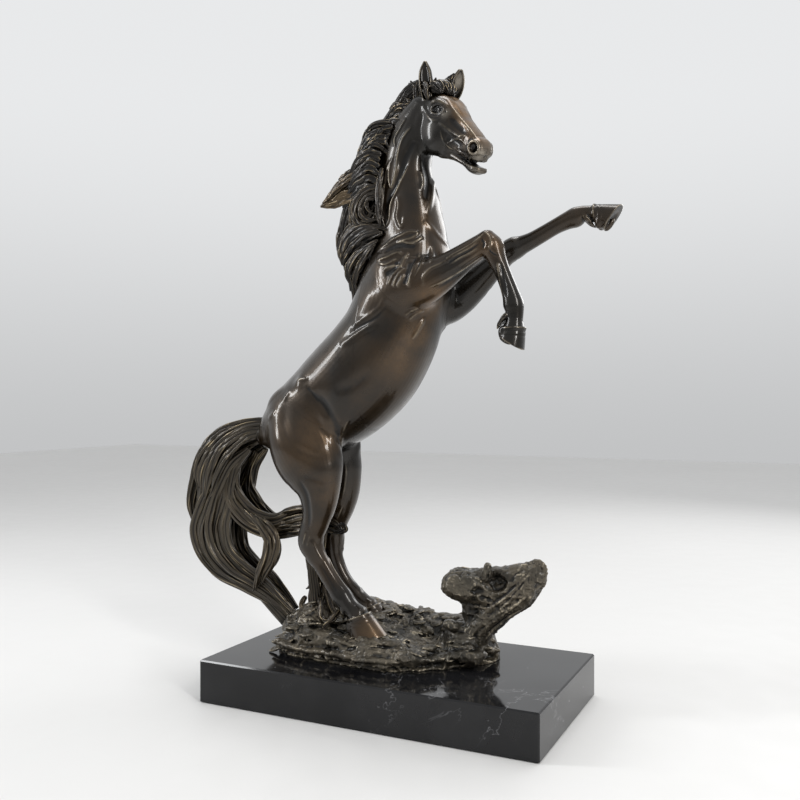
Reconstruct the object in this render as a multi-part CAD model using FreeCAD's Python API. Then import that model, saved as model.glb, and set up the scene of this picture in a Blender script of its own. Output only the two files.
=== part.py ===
import FreeCAD, Part
import math
import os

# Rearing horse cast in bronze on a rocky ground casting, bolted to a marble plinth.
# Millimetres. +X the way the horse faces, +Z up, origin at the centre of the plinth's underside.

# ---- driving dimensions
PLINTH_L = 310.0
PLINTH_W = 170.0
PLINTH_TOP = 37.5
FELT_T = 1.0
PLINTH_CHAMFER = 1.2
STUD_R = 4.0
STUD_HOLE_R = 4.5
CBORE_R = 12.0
CBORE_DEPTH = 14.0
NUT_AF = 13.0
NUT_H = 6.5
WASHER_R = 9.0
WASHER_T = 1.6
STUD_XY = [(-62.0, 8.0), (34.0, 10.0)]
STUD_TOP = 52.0
BOSS_R = 9.0
WALL = 4.5
HOOF_PIN_R = 2.5
TAIL_PIN_R = 2.5

HEAD_AT = (36.5, -4.0, 528.0)
HEAD_YAW = -26.0
HEAD_TILT = -37.0

# ---- station tables: x, y, z of the section's centre, half width, half depth on the back or front side, half depth on the other
TORSO = [
    (-142.1, 0, 232, 13, 10, 10),
    (-130.7, 0, 235.1, 23, 21, 19),
    (-112.7, 0, 242, 32, 32, 28),
    (-92.8, 0, 251.7, 36, 39, 37),
    (-71.2, 0, 263.9, 38.5, 44, 45),
    (-48, 0, 282.3, 40.5, 46, 49),
    (-26.3, 0, 303, 41, 45.5, 48.5),
    (-9.2, 0, 326, 39.5, 44, 44),
    (0.8, 0, 350.6, 37, 42.5, 41),
    (6.7, 0, 374.4, 34, 40, 40),
    (10.6, 0, 394.5, 30, 37, 38),
]
NECK = [
    (4.7, 0, 362.9, 31, 36, 33),
    (8.6, 0, 384, 30, 35, 33),
    (11.6, 0, 406, 27, 33, 33.5),
    (10.8, -0.5, 428.1, 23, 30.5, 28.5),
    (7.4, -1.5, 450.3, 19.5, 28, 26.8),
    (7.1, -3, 472.2, 17, 24.5, 24),
    (11.5, -4, 491.7, 15.5, 21, 23),
    (18.7, -5, 509, 14, 18, 21),
    (26.9, -6, 521.6, 12.5, 13.5, 18),
]
FORE_R = [
    (2.6, -16, 382.3, 15, 22, 22),
    (15.6, -23, 366.8, 17, 22, 22),
    (32.6, -27, 365.5, 16, 19, 20),
    (47.8, -28, 371.2, 14, 16, 17),
    (62.3, -28, 378.7, 12, 13, 13.5),
    (74.8, -28, 386.2, 10, 11, 11),
    (85.4, -28, 392.1, 9, 10, 10),
    (94.1, -28, 396.4, 8.5, 9.5, 9),
]
FORE_R_LOW = [
    (93.2, -28, 399.7, 7, 7, 8),
    (97.6, -28, 392.8, 9, 9.5, 10.5),
    (101.4, -28, 382.8, 7.5, 8, 8),
    (105.3, -28, 374.4, 6.2, 6.6, 6.8),
    (110, -28, 363.6, 6, 6.2, 6.8),
    (114.2, -28, 352, 6.6, 7, 7.5),
    (116.4, -28, 343.8, 7.6, 8, 8.8),
    (117, -28, 337.4, 6.8, 7.2, 7.2),
    (116.9, -28, 330.9, 6.8, 6.8, 7),
    (116.5, -28, 326.1, 8, 8.5, 8.5),
]
FORE_L = [
    (23.8, 14, 356.3, 15, 20, 20),
    (34, 22, 353, 16, 20, 19),
    (45.5, 27, 359.2, 14.5, 17, 17.5),
    (58.5, 28, 368.5, 12.5, 14.5, 15),
    (70.8, 28, 378.5, 11, 12, 12.5),
    (82, 28, 387.5, 9.8, 10.5, 10.5),
    (91.3, 28, 395.2, 9.2, 9.5, 9.5),
    (99.5, 28, 399.9, 8.6, 9.5, 8.8),
]
FORE_L_LOW = [
    (86.7, 28, 394.2, 7, 7, 7),
    (94.9, 28, 397.6, 9, 10, 9.5),
    (103.1, 28, 400.9, 7.8, 8.5, 8.5),
    (113.1, 28, 404.9, 6.6, 7, 7.5),
    (124.6, 28, 410.5, 6.2, 6.4, 7.2),
    (135.2, 28, 415.6, 6.2, 6.4, 7),
    (144.8, 28, 419.5, 6.8, 7.2, 7.8),
    (153.4, 28, 422.2, 7.6, 8.3, 8.8),
    (159.4, 28, 424.2, 6.6, 6.6, 6.4),
    (164.5, 28, 424.3, 6.4, 6, 6.2),
    (168.7, 28, 423.6, 7.6, 7.2, 7.4),
]
HIND_R = [
    (-111.6, -12, 262.9, 16, 16, 16),
    (-99.7, -17, 248.2, 22, 28, 26),
    (-89.6, -21, 230.2, 24, 35.5, 31.5),
    (-79.6, -23.5, 212.3, 22, 35, 32),
    (-72.1, -24.5, 197.3, 18.5, 28, 27),
    (-68.4, -24.5, 183.9, 15.5, 20, 21),
    (-68.8, -24, 170.3, 13, 15.5, 16.5),
    (-72.2, -23.5, 157.4, 10.5, 12.8, 13.6),
    (-76.7, -23, 146.2, 9, 12, 12.5),
    (-77.3, -23, 137.1, 8.6, 11.8, 13),
    (-73.6, -23, 128.3, 7.8, 10, 10.2),
    (-67.3, -23, 119.7, 6.8, 8.2, 8.2),
    (-59.5, -23, 108.6, 6.4, 7.6, 7.8),
    (-51.7, -23, 98.6, 6.8, 8, 8.4),
    (-45.1, -23, 91.2, 8, 9.3, 9.8),
    (-39.5, -23, 85, 7.6, 8.4, 8.8),
    (-33.9, -23, 80.3, 7.6, 8, 8.5),
    (-28.9, -23, 76.8, 9, 9, 9),
]
HIND_L = [
    (-103.5, 12, 262.8, 16, 16, 16),
    (-97.6, 17, 247.5, 22, 28, 26),
    (-91.7, 21, 228.3, 24, 35.5, 31),
    (-84.9, 23.5, 209.2, 22, 34, 31),
    (-78.3, 24.5, 194, 18.5, 27, 26),
    (-74.5, 24.5, 179.9, 15.5, 20, 20),
    (-75.3, 24, 165.6, 13, 15.5, 16),
    (-78.8, 23.5, 152.1, 10.5, 12.5, 13),
    (-81.8, 23, 140.5, 9, 11.8, 12),
    (-82.4, 23, 130.9, 8.6, 11.5, 12.5),
    (-80.8, 23, 121.4, 7.8, 9.5, 9.8),
    (-77.5, 23, 112.1, 6.8, 8, 8),
    (-71.5, 23, 100.3, 6.4, 7.4, 7.6),
    (-64.4, 23, 90.4, 6.8, 7.8, 8.2),
    (-58, 23, 83.9, 8, 9, 9.5),
    (-51.5, 23, 78.9, 7.6, 8.2, 8.6),
    (-46.2, 23, 75.7, 7.6, 7.8, 8.2),
    (-41.5, 23, 72.9, 9, 8.8, 8.8),
]
HOOF_RF = {"cf": (126.0, -28.0, 325.4), "cb": (106.6, -28.0, 325.6), "toe": (124.4, -28.0, 306.9), "heel": (104.9, -28.0, 318.7), "a0": 9.5, "a1": 11.5}
HOOF_LF = {"cf": (168.2, 28.0, 431.2), "cb": (169.4, 28.0, 415.8), "toe": (191.9, 28.0, 428.7), "heel": (177.1, 28.0, 408.0), "a0": 8.6, "a1": 11.5}
HOOF_RH = {"cf": (-18.4, -23.0, 80.3), "cb": (-39.0, -23.0, 72.2), "toe": (-1.2, -23.0, 61.4), "heel": (-36.4, -23.0, 57.8), "a0": 9.8, "a1": 13}
HOOF_LH = {"cf": (-32.0, 23.0, 77.6), "cb": (-51.5, 23.0, 68.1), "toe": (-20.6, 23.0, 66.2), "heel": (-49.9, 23.0, 59.8), "a0": 9.8, "a1": 12.5}

# skull, along the head's own axis: forward, up of the face line, up of the jaw line, half width
SKULL = [
    (-8, 1, -22, 9.0), (2, 6, -30, 12.5), (12, 8.5, -35, 15.6), (24, 9, -38, 17.2), (36, 7, -38.5, 16.6), (46, 4.8, -36, 14.0), (56, 2.9, -29.5, 11.2),
    (66, 1.2, -24.5, 9.4), (75, -0.3, -22, 9.0), (84, -1.6, -19.5, 9.6), (91, -3.4, -16.8, 8.4), (95.5, -6.5, -14.5, 6.0),
]
JAW = [(48, -31, 8.4, 6, 7), (58, -28.3, 7.4, 4.2, 4.6), (67, -26.8, 6.6, 3.0, 3.5), (75, -26.2, 6.4, 2.6, 3.6), (82, -25.8, 6.8, 2.8, 3.8), (88, -24.6, 6.4, 2.6, 3.2), (92, -22.8, 4.4, 1.8, 2.0)]
EARS = [
    [((7, -8, -8), (6.5, 5.0, 5.0)), ((3, -11.5, 3), (6.6, 5.0, 5.0)), ((-2, -13, 11), (6.4, 4.4, 4.4)), ((-8, -14, 18.5), (4.6, 3.2, 3.2)), ((-13.6, -14, 24), (1.6, 1.3, 1.3))],
    [((5, 8, -8), (6.5, 5.0, 5.0)), ((3, 12, 4), (6.4, 5.0, 5.0)), ((2, 13.5, 14), (5.8, 4.2, 4.2)), ((1, 14, 23), (4.4, 3.2, 3.2)), ((0, 14, 30), (1.6, 1.3, 1.3))],
]

# ground casting: x, front edge y, back edge y, heights of the top at five places from front to back
GROUND = [
    (-116, -14, 14, 46, 53, 56, 56, 48),
    (-108, -33, 30, 45, 57, 62, 62, 52),
    (-92, -42, 44, 45, 59, 68, 70, 56),
    (-70, -46, 54, 45, 59, 67, 76, 60),
    (-45, -48, 60, 45, 60, 66, 77, 62),
    (-20, -50, 63, 45, 60.5, 65, 75, 62),
    (5, -49, 64, 45, 57, 61, 72, 60),
    (28, -40, 62, 46, 52, 57, 72, 60),
    (48, -25, 58, 47, 50, 58, 70, 58),
    (64, -9, 52, 49, 53, 60, 66, 56),
    (76, 8, 42, 50, 55, 60, 60, 52),
    (81, 18, 33, 47, 51, 53, 52, 47),
]

# tail and mane locks: centre, half width across, half depth
TAIL_MAIN = [
    (-138, 0, 237, 9, 10), (-158, 0, 236.5, 11, 11), (-180, 1, 228, 14, 15), (-197, 2, 210, 17, 19), (-207, 3, 186, 19, 24), (-211, 4, 160, 18, 23),
    (-205, 5, 136, 15, 18), (-190, 5, 116, 12, 13), (-170, 4, 97, 10, 10), (-148, 3, 80, 10, 9), (-130, 2, 66, 10, 10), (-116, 2, 55, 10, 10),
]
TAIL_LOCK = [
    (-196, 1, 186, 8, 9), (-180, 0, 165, 9, 10), (-160, 0, 149, 9, 10), (-138, 1, 143.5, 8.5, 10), (-116, 2, 147, 8, 11), (-96, 3, 151, 7.5, 10), (-80, 3, 146, 6.5, 8),
]
TAIL_MID = [(-150, -3, 149, 7, 8), (-141, -5, 136, 7, 9), (-139, -6, 120, 7, 9), (-146, -7, 104, 6.5, 8), (-153, -8, 90, 4.5, 5), (-157, -8, 82, 2.5, 3)]
TAIL_DROP = [(-98, 3, 147, 7, 7), (-93, 3, 128, 6.5, 6.5), (-92, 3, 106, 6, 6.5), (-88, 2, 84, 7, 7.5), (-84, 0, 66, 8, 9)]
MANE = [
    [(24, 0, 538, 10, 7), (8, 2, 534, 11, 10), (-6, 3, 520, 12, 11), (-20, 4, 502, 13, 11), (-31, 5, 480, 13, 12), (-39, 6, 456, 14, 12), (-44, 6, 431, 14, 12), (-48, 6, 406, 12, 11), (-49, 6, 384, 9, 9), (-48, 6, 364, 5, 5), (-47, 6, 355, 2.5, 2.5)],
    [(-24, 2, 492, 8, 8), (-40, 0, 479, 8, 8), (-56, -2, 465, 7, 7), (-68, -3, 454, 5.5, 5), (-79, -4, 447, 2.5, 2.5)],
    [(-36, 5, 462, 8, 8), (-50, 5, 446, 8, 9), (-58, 4, 426, 8, 8), (-61, 4, 408, 6, 6), (-61, 3, 394, 3, 3)],
    [(-6, 12, 508, 7, 9), (-16, 20, 486, 6, 11), (-24, 25, 460, 5.5, 12), (-30, 28, 432, 5, 10), (-34, 29, 408, 4, 7), (-36, 30, 392, 2.5, 3)],
    [(10, 8, 530, 7, 8), (3, 17, 512, 6, 10), (-3, 22, 490, 5.5, 11), (-7, 26, 466, 5, 10), (-10, 28, 444, 4, 7), (-12, 30, 428, 2.5, 3)],
    [(-12, -4, 512, 5, 6), (-22, -9, 494, 5, 6), (-27, -15, 470, 4.5, 7), (-26, -19, 447, 4.5, 6), (-20, -22, 428, 3.5, 4), (-13, -23, 419, 2, 2)],
]
FORELOCK = [(27, -5, 534, 6, 5), (38, 0, 541, 6, 5), (48, 3, 548, 5, 4), (54, 4, 551, 2.5, 2), (56, 4, 552, 1.4, 1.2)]

os.makedirs("parts", exist_ok=True)
V = FreeCAD.Vector


def spline_wire(points):
    c = Part.BSplineCurve()
    c.interpolate([V(*p) for p in points], PeriodicFlag=True)
    return Part.Wire([c.toShape()])


def ring(c, u, v, a, b1, b2, n=10, taper=0.0):
    pts = []
    for i in range(n):
        f = 2 * math.pi * (i + 0.5) / n
        cu, sv = math.cos(f), math.sin(f)
        b = b1 if sv > 0 else b2
        w = a * cu * (1 - taper * sv)
        pts.append(tuple(c[k] + u[k] * w + v[k] * b * sv for k in range(3)))
    return spline_wire(pts)


def sub(a, b):
    return tuple(x - y for x, y in zip(a, b))


def add(a, b, s=1.0):
    return tuple(x + y * s for x, y in zip(a, b))


def dot(a, b):
    return sum(x * y for x, y in zip(a, b))


def cross(a, b):
    return (a[1] * b[2] - a[2] * b[1], a[2] * b[0] - a[0] * b[2], a[0] * b[1] - a[1] * b[0])


def unit(a):
    m = math.sqrt(dot(a, a)) or 1.0
    return tuple(x / m for x in a)


def frames(rows, side):
    out = []
    for i, r in enumerate(rows):
        p, q = rows[max(0, i - 1)], rows[min(len(rows) - 1, i + 1)]
        t = unit(sub(q[:3], p[:3]))
        u = unit(add(side, t, -dot(side, t)))
        out.append((tuple(r[:3]), t, u, cross(t, u)))
    return out


def tube(rows, side=(0, 1, 0), n=10, taper=0.0, cap0=True, cap1=True, shrink=0.0, depth=0.7):
    """Solid loft through the station rows. A row is centre, half width, half depth, other half depth."""
    rows = [tuple(r) if len(r) > 5 else tuple(r) + (r[4],) for r in rows]
    fr = frames(rows, side)
    wires = []

    def one(i, along, k):
        c, t, u, v = fr[i]
        r = rows[i]
        a, b1, b2 = (max(0.8, (x - shrink)) * k for x in r[3:6])
        wires.append(ring(add(c, t, along), u, v, a, b1, b2, n, taper))

    r0 = max(0.8, min(rows[0][3:6]) - shrink) * depth
    r1 = max(0.8, min(rows[-1][3:6]) - shrink) * depth
    if cap0:
        one(0, -r0, 0.42)
        one(0, -r0 * 0.7, 0.75)
    for i in range(len(rows)):
        one(i, 0, 1.0)
    if cap1:
        one(len(rows) - 1, r1 * 0.7, 0.75)
        one(len(rows) - 1, r1, 0.42)
    return Part.makeLoft(wires, True, False)


def hoof(h):
    cf, cb, toe, heel = (h[k] for k in ("cf", "cb", "toe", "heel"))
    u = (0.0, 1.0, 0.0)
    wires = []
    for f in (-0.12, 0.5, 1.0):
        p = add(cf, sub(toe, cf), f)
        q = add(cb, sub(heel, cb), f)
        c = tuple((a + b) / 2 for a, b in zip(p, q))
        v = sub(p, q)
        L = math.sqrt(dot(v, v)) / 2
        a = h["a0"] + (h["a1"] - h["a0"]) * max(0, f)
        wires.append(ring(c, u, unit(v), a, L, L, 12))
    return Part.makeLoft(wires, True, False)


def solid_of(shape, name):
    """The shape's solids worth keeping, as one solid or a compound."""
    keep = [s for s in shape.Solids if s.Volume > 8.0]
    big = max(s.Volume for s in keep)
    keep = [s for s in keep if s.Volume > 0.01 * big or s.Volume > 400]
    print(name, "solids", len(keep), "volume", round(sum(s.Volume for s in keep)), "valid", all(s.isValid() for s in keep))
    return keep[0] if len(keep) == 1 else Part.makeCompound(keep)


def half_space(point, normal, size=400.0):
    """A big block on the far side of the plane through point, where normal points."""
    n = unit(normal)
    helper = (0, 1, 0)
    u = unit(add(helper, n, -dot(helper, n)))
    v = cross(n, u)
    corners = [add(add(point, u, a * size), v, b * size) for a, b in ((-1, -1), (1, -1), (1, 1), (-1, 1))]
    face = Part.Face(Part.makePolygon([V(*c) for c in corners] + [V(*corners[0])]))
    return face.extrude(V(*n) * size)


# ---- plinth, felt and fixings
plinth = Part.makeBox(PLINTH_L, PLINTH_W, PLINTH_TOP - FELT_T, V(-PLINTH_L / 2, -PLINTH_W / 2, FELT_T))
plinth = plinth.makeChamfer(PLINTH_CHAMFER, [e for e in plinth.Edges if e.CenterOfMass.z > FELT_T + 1])
felt = Part.makeBox(PLINTH_L - 4, PLINTH_W - 4, FELT_T, V(-PLINTH_L / 2 + 2, -PLINTH_W / 2 + 2, 0))
studs, washers, nuts = [], [], []
cb_top = FELT_T + CBORE_DEPTH
for x, y in STUD_XY:
    plinth = plinth.cut(Part.makeCylinder(STUD_HOLE_R, 60, V(x, y, 0)))
    plinth = plinth.cut(Part.makeCylinder(CBORE_R, CBORE_DEPTH + 1, V(x, y, 0)))
    z0 = cb_top - WASHER_T - NUT_H - 3
    rod = Part.makeCylinder(STUD_R, STUD_TOP - z0, V(x, y, z0))
    rod = rod.makeChamfer(0.6, [e for e in rod.Edges if e.Curve.TypeId == "Part::GeomCircle"])
    studs.append(rod)
    w = Part.makeCylinder(WASHER_R, WASHER_T, V(x, y, cb_top - WASHER_T)).cut(Part.makeCylinder(STUD_HOLE_R - 0.3, 20, V(x, y, 5)))
    washers.append(w)
    pts = [V(x + NUT_AF / math.sqrt(3) * math.cos(math.radians(60 * i)), y + NUT_AF / math.sqrt(3) * math.sin(math.radians(60 * i)), cb_top - WASHER_T - NUT_H) for i in range(7)]
    n = Part.Face(Part.makePolygon(pts)).extrude(V(0, 0, NUT_H))
    cone = Part.makeCone(NUT_AF / 2 * 1.02, NUT_AF / 2 * 1.02 + 6, 6, V(x, y, cb_top - WASHER_T - NUT_H))
    n = n.common(cone.fuse(Part.makeCylinder(30, 30, V(x, y, cb_top - WASHER_T - NUT_H + 5.9))))
    nuts.append(n.cut(Part.makeCylinder(STUD_R, 30, V(x, y, 0))))

# ---- horse, outer shapes
torso = tube(TORSO, taper=0.05)
neck = tube(NECK, taper=0.2)
seam_p, seam_n = (9.0, 0, 392.0), (0.16, 0, 0.99)
torso = torso.cut(half_space(seam_p, seam_n))
neck = neck.cut(half_space(seam_p, tuple(-x for x in seam_n)))

cy, sy = math.cos(math.radians(HEAD_YAW)), math.sin(math.radians(HEAD_YAW))
ct, st = math.cos(math.radians(HEAD_TILT)), math.sin(math.radians(HEAD_TILT))
HF = (cy * ct, sy * ct, st)
HL = (-sy, cy, 0.0)
HU = cross(HF, HL)


def head_point(p):
    return tuple(HEAD_AT[k] + p[0] * HF[k] + p[1] * HL[k] + p[2] * HU[k] for k in range(3))


head = tube([head_point((x, 0, (a + b) / 2)) + (w, (a - b) / 2, (a - b) / 2) for x, a, b, w in SKULL], side=HL, n=12)
jaw = tube([head_point((x, 0, z)) + (w, b1, b2) for x, z, w, b1, b2 in JAW], side=HL)
head = head.fuse(jaw)
for ear in EARS:
    head = head.fuse(tube([head_point(p) + q for p, q in ear], side=HL))
mouth = tube([head_point((x, 0, z)) + (12.0, b, b) for x, z, b in ((62, -24.4, 0.7), (74, -22.9, 0.9), (83, -21.2, 1.5), (91, -18.9, 2.3), (100, -16.8, 3.0))], side=HL)
head = head.cut(mouth)
neck = neck.cut(head)

fore_r = tube(FORE_R, cap1=True).fuse(tube(FORE_R_LOW)).fuse(hoof(HOOF_RF))
fore_l = tube(FORE_L, cap1=True).fuse(tube(FORE_L_LOW)).fuse(hoof(HOOF_LF))
hind_r = tube(HIND_R).fuse(hoof(HOOF_RH))
hind_l = tube(HIND_L).fuse(hoof(HOOF_LH))
trunk = torso.fuse(neck)
fore_r = fore_r.cut(trunk)
fore_l = fore_l.cut(trunk)
hind_r = hind_r.cut(torso)
hind_l = hind_l.cut(torso)
hind_l = hind_l.cut(hind_r)
fore_l = fore_l.cut(fore_r)

mane = tube(MANE[0])
for rows in MANE[1:]:
    mane = mane.fuse(tube(rows, side=(0, 1, 0)))
mane = mane.cut(neck).cut(torso).cut(head).cut(fore_l)
forelock = tube(FORELOCK, side=HL).cut(head).cut(mane).cut(neck)

# ---- ground casting
sections = []
for x, yf, yb, z0, z1, z2, z3, z4 in GROUND:
    w = yb - yf
    top = [(yf + 0.10 * w, z0 + 3), (yf + 0.24 * w, z1), (yf + 0.50 * w, z2), (yf + 0.76 * w, z3), (yf + 0.93 * w, z4)]
    low = [(yb, 46.0), (yb - 0.06 * w, 36.0), (yf + 0.75 * w, 31.0), (yf + 0.5 * w, 31.0), (yf + 0.25 * w, 31.0), (yf + 0.06 * w, 36.0), (yf, z0 - 2.5)]
    sections.append(spline_wire([(x, y, z) for y, z in top + low]))
ground = Part.makeLoft(sections, True, False)
ground = ground.cut(Part.makeBox(500, 500, 40, V(-250, -250, PLINTH_TOP - 40)))
ground_full = ground
core = []
for x, yf, yb, z0, z1, z2, z3, z4 in GROUND[2:-2]:
    w = yb - yf
    top = [(yf + 0.25 * w, z1 - 10), (yf + 0.52 * w, z2 - 9), (yf + 0.74 * w, z3 - 11)]
    low = [(yb - 0.18 * w, 38.0), (yf + 0.75 * w, 29.0), (yf + 0.5 * w, 28.0), (yf + 0.25 * w, 29.0), (yf + 0.2 * w, 37.0)]
    core.append(spline_wire([(x, y, z) for y, z in top + low]))
core = Part.makeLoft(core, True, False)
for x, y in STUD_XY:
    core = core.cut(Part.makeCylinder(BOSS_R, 80, V(x, y, 10)))
ground = ground.cut(core)

log = tube([(58, 12, 50, 14, 14), (72, 13, 68, 12, 12), (88, 13, 84, 11, 11), (106, 13, 99, 11, 12), (119, 13, 115, 10, 11), (126, 13, 127, 7, 7)])
log = log.fuse(tube([(96, 13, 98, 13, 14), (82, 14, 103, 14, 16), (66, 14, 105, 15, 16), (52, 14, 104, 14, 15), (43, 14, 103, 10, 10)]))
log = log.fuse(tube([(74, 14, 112, 10, 8), (92, 14, 113, 10, 9), (108, 13, 118, 10, 9), (120, 13, 126, 8, 7)]))
knot = Part.makeSphere(9.0, V(86, 0, 108))
log = log.cut(knot)
log = log.cut(Part.makeBox(500, 500, 60, V(-250, -250, PLINTH_TOP + 4 - 60)))

# ---- tail
tail = tube(TAIL_MAIN).cut(torso)
tail_lock = tube(TAIL_LOCK).fuse(tube(TAIL_DROP)).fuse(tube(TAIL_MID))

# ---- cut every piece back to the one it is fixed to, so they meet face to face
hooves = hind_r.fuse(hind_l)
ground = ground.cut(hooves)
log = log.cut(ground_full)
tail = tail.cut(hooves).cut(ground_full)
tail_lock = tail_lock.cut(tail).cut(hooves).cut(ground_full).cut(torso)

# ---- stud sockets, hoof pins and tail pin
for x, y in STUD_XY:
    ground = ground.cut(Part.makeCylinder(STUD_R, STUD_TOP, V(x, y, 0)))


def pin(p, d, r, length):
    return Part.makeCylinder(r, length, V(*p), V(*unit(d)))


pin_r = pin((-18, -23, 50), (-0.25, 0, 1), HOOF_PIN_R, 18)
pin_l = pin((-36, 23, 53), (-0.25, 0, 1), HOOF_PIN_R, 18)
tail_pin = pin((-124, 0, 238), (-1, 0, 0.02), TAIL_PIN_R, 36)
hind_r = hind_r.cut(pin_r)
hind_l = hind_l.cut(pin_l)
ground = ground.cut(pin_r).cut(pin_l)
torso = torso.cut(tail_pin)
tail = tail.cut(tail_pin)

# ---- hollow the trunk: thin-walled castings, open to each other along the seam
inner_t = tube(TORSO[2:], shrink=WALL, cap1=False)
inner_n = tube(NECK[:6], shrink=WALL, cap0=False, taper=0.2)
torso = torso.cut(inner_t)
neck = neck.cut(inner_n)
head = head.cut(tube([head_point((x, 0, (a + b) / 2)) + (w, (a - b) / 2, (a - b) / 2) for x, a, b, w in SKULL[2:6]], side=HL, shrink=WALL))
hind_r = hind_r.cut(tube(HIND_R[2:5], shrink=WALL + 1))
hind_l = hind_l.cut(tube(HIND_L[2:5], shrink=WALL + 1))
tail = tail.cut(tube(TAIL_MAIN[2:7], shrink=WALL))

PIECES = {
    "marble_plinth": plinth,
    "felt_sheet": felt,
    "stud_rear": studs[0],
    "stud_front": studs[1],
    "washer_rear": washers[0],
    "washer_front": washers[1],
    "nut_rear": nuts[0],
    "nut_front": nuts[1],
    "hoof_pin_right": pin_r,
    "hoof_pin_left": pin_l,
    "tail_pin": tail_pin,
    "ground_casting": ground,
    "log_casting": log,
    "torso_casting": torso,
    "neck_casting": neck,
    "head_casting": head,
    "mane_casting": mane,
    "forelock_casting": forelock,
    "foreleg_right_casting": fore_r,
    "foreleg_left_casting": fore_l,
    "hindleg_right_casting": hind_r,
    "hindleg_left_casting": hind_l,
    "tail_casting": tail,
    "tail_lock_casting": tail_lock,
}
for name, shape in PIECES.items():
    s = solid_of(shape, name)
    s.exportStep("parts/%s.step" % name)
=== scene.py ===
import math
import time

import bpy
import numpy as np
import openvdb as vdb
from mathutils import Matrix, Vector


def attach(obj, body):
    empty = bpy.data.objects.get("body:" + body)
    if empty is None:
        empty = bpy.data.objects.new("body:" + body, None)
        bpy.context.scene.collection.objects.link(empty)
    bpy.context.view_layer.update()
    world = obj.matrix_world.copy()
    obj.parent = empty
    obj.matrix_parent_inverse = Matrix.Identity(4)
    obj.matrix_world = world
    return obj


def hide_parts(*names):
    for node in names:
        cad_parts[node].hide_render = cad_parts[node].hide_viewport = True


# Rearing bronze horse on a marble plinth. The castings are sculpted as signed distance volumes in millimetres
# in the row frame, and come out as closed meshes in metres, one or a few for each CAD node.



# ---------------------------------------------------------------- sculpting kit: signed distance volumes, in millimetres
def unit(v):
    v = np.asarray(v, float)
    return v / max(1e-9, np.linalg.norm(v))


def spline(rows, step):
    """Smooth rows of numbers (the first three are a centre) along their chord length, sampled about every step mm."""
    P = np.asarray(rows, float)
    n = len(P)
    seg = np.maximum(np.linalg.norm(np.diff(P[:, :3], axis=0), axis=1), 1e-6)
    s = np.concatenate([[0], np.cumsum(seg)])
    m = np.zeros_like(P)
    d = np.diff(P, axis=0) / seg[:, None]
    if n > 2:
        w0, w1 = seg[1:, None], seg[:-1, None]
        m[1:-1] = (d[:-1] * w0 + d[1:] * w1) / (w0 + w1)
    m[0], m[-1] = d[0], d[-1]
    out, par = [], []
    for i in range(n - 1):
        k = max(1, int(round(seg[i] / step)))
        t = (np.arange(k) / k)[:, None]
        h = seg[i]
        t2, t3 = t * t, t * t * t
        out.append((2 * t3 - 3 * t2 + 1) * P[i] + (t3 - 2 * t2 + t) * h * m[i] + (-2 * t3 + 3 * t2) * P[i + 1] + (t3 - t2) * h * m[i + 1])
        par.append(s[i] + t[:, 0] * h)
    out.append(P[-1:])
    par.append([s[-1]])
    return np.concatenate(out), np.concatenate(par)


def ring_frames(C, side):
    """Tangent, lateral u and dorsal v at each centre. side is one vector or one for each centre."""
    t = np.gradient(C, axis=0)
    t /= np.maximum(np.linalg.norm(t, axis=1), 1e-9)[:, None]
    side = np.broadcast_to(np.asarray(side, float), C.shape)
    u = side - (side * t).sum(1)[:, None] * t
    u /= np.maximum(np.linalg.norm(u, axis=1), 1e-9)[:, None]
    return t, u, np.cross(t, u)


def skin(rings, close_ends=True):
    """Quads over a list of rings (k, n, 3), with a fan at each end. Returns points, quads, triangles."""
    R = np.asarray(rings, float)
    k, n = R.shape[:2]
    pts = R.reshape(-1, 3)
    i = np.arange(k - 1)[:, None] * n
    j = np.arange(n)[None, :]
    j2 = (j + 1) % n
    q = np.stack([i + j, i + j2, i + n + j2, i + n + j], -1).reshape(-1, 4)
    tri = np.zeros((0, 3), int)
    if close_ends:
        c0, c1 = R[0].mean(0), R[-1].mean(0)
        pts = np.concatenate([pts, [c0, c1]])
        a = np.arange(n)
        b = (a + 1) % n
        o = (k - 1) * n
        tri = np.concatenate([np.stack([b, a, np.full(n, k * n)], -1), np.stack([o + a, o + b, np.full(n, k * n + 1)], -1)])
    return pts, q, tri


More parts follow.
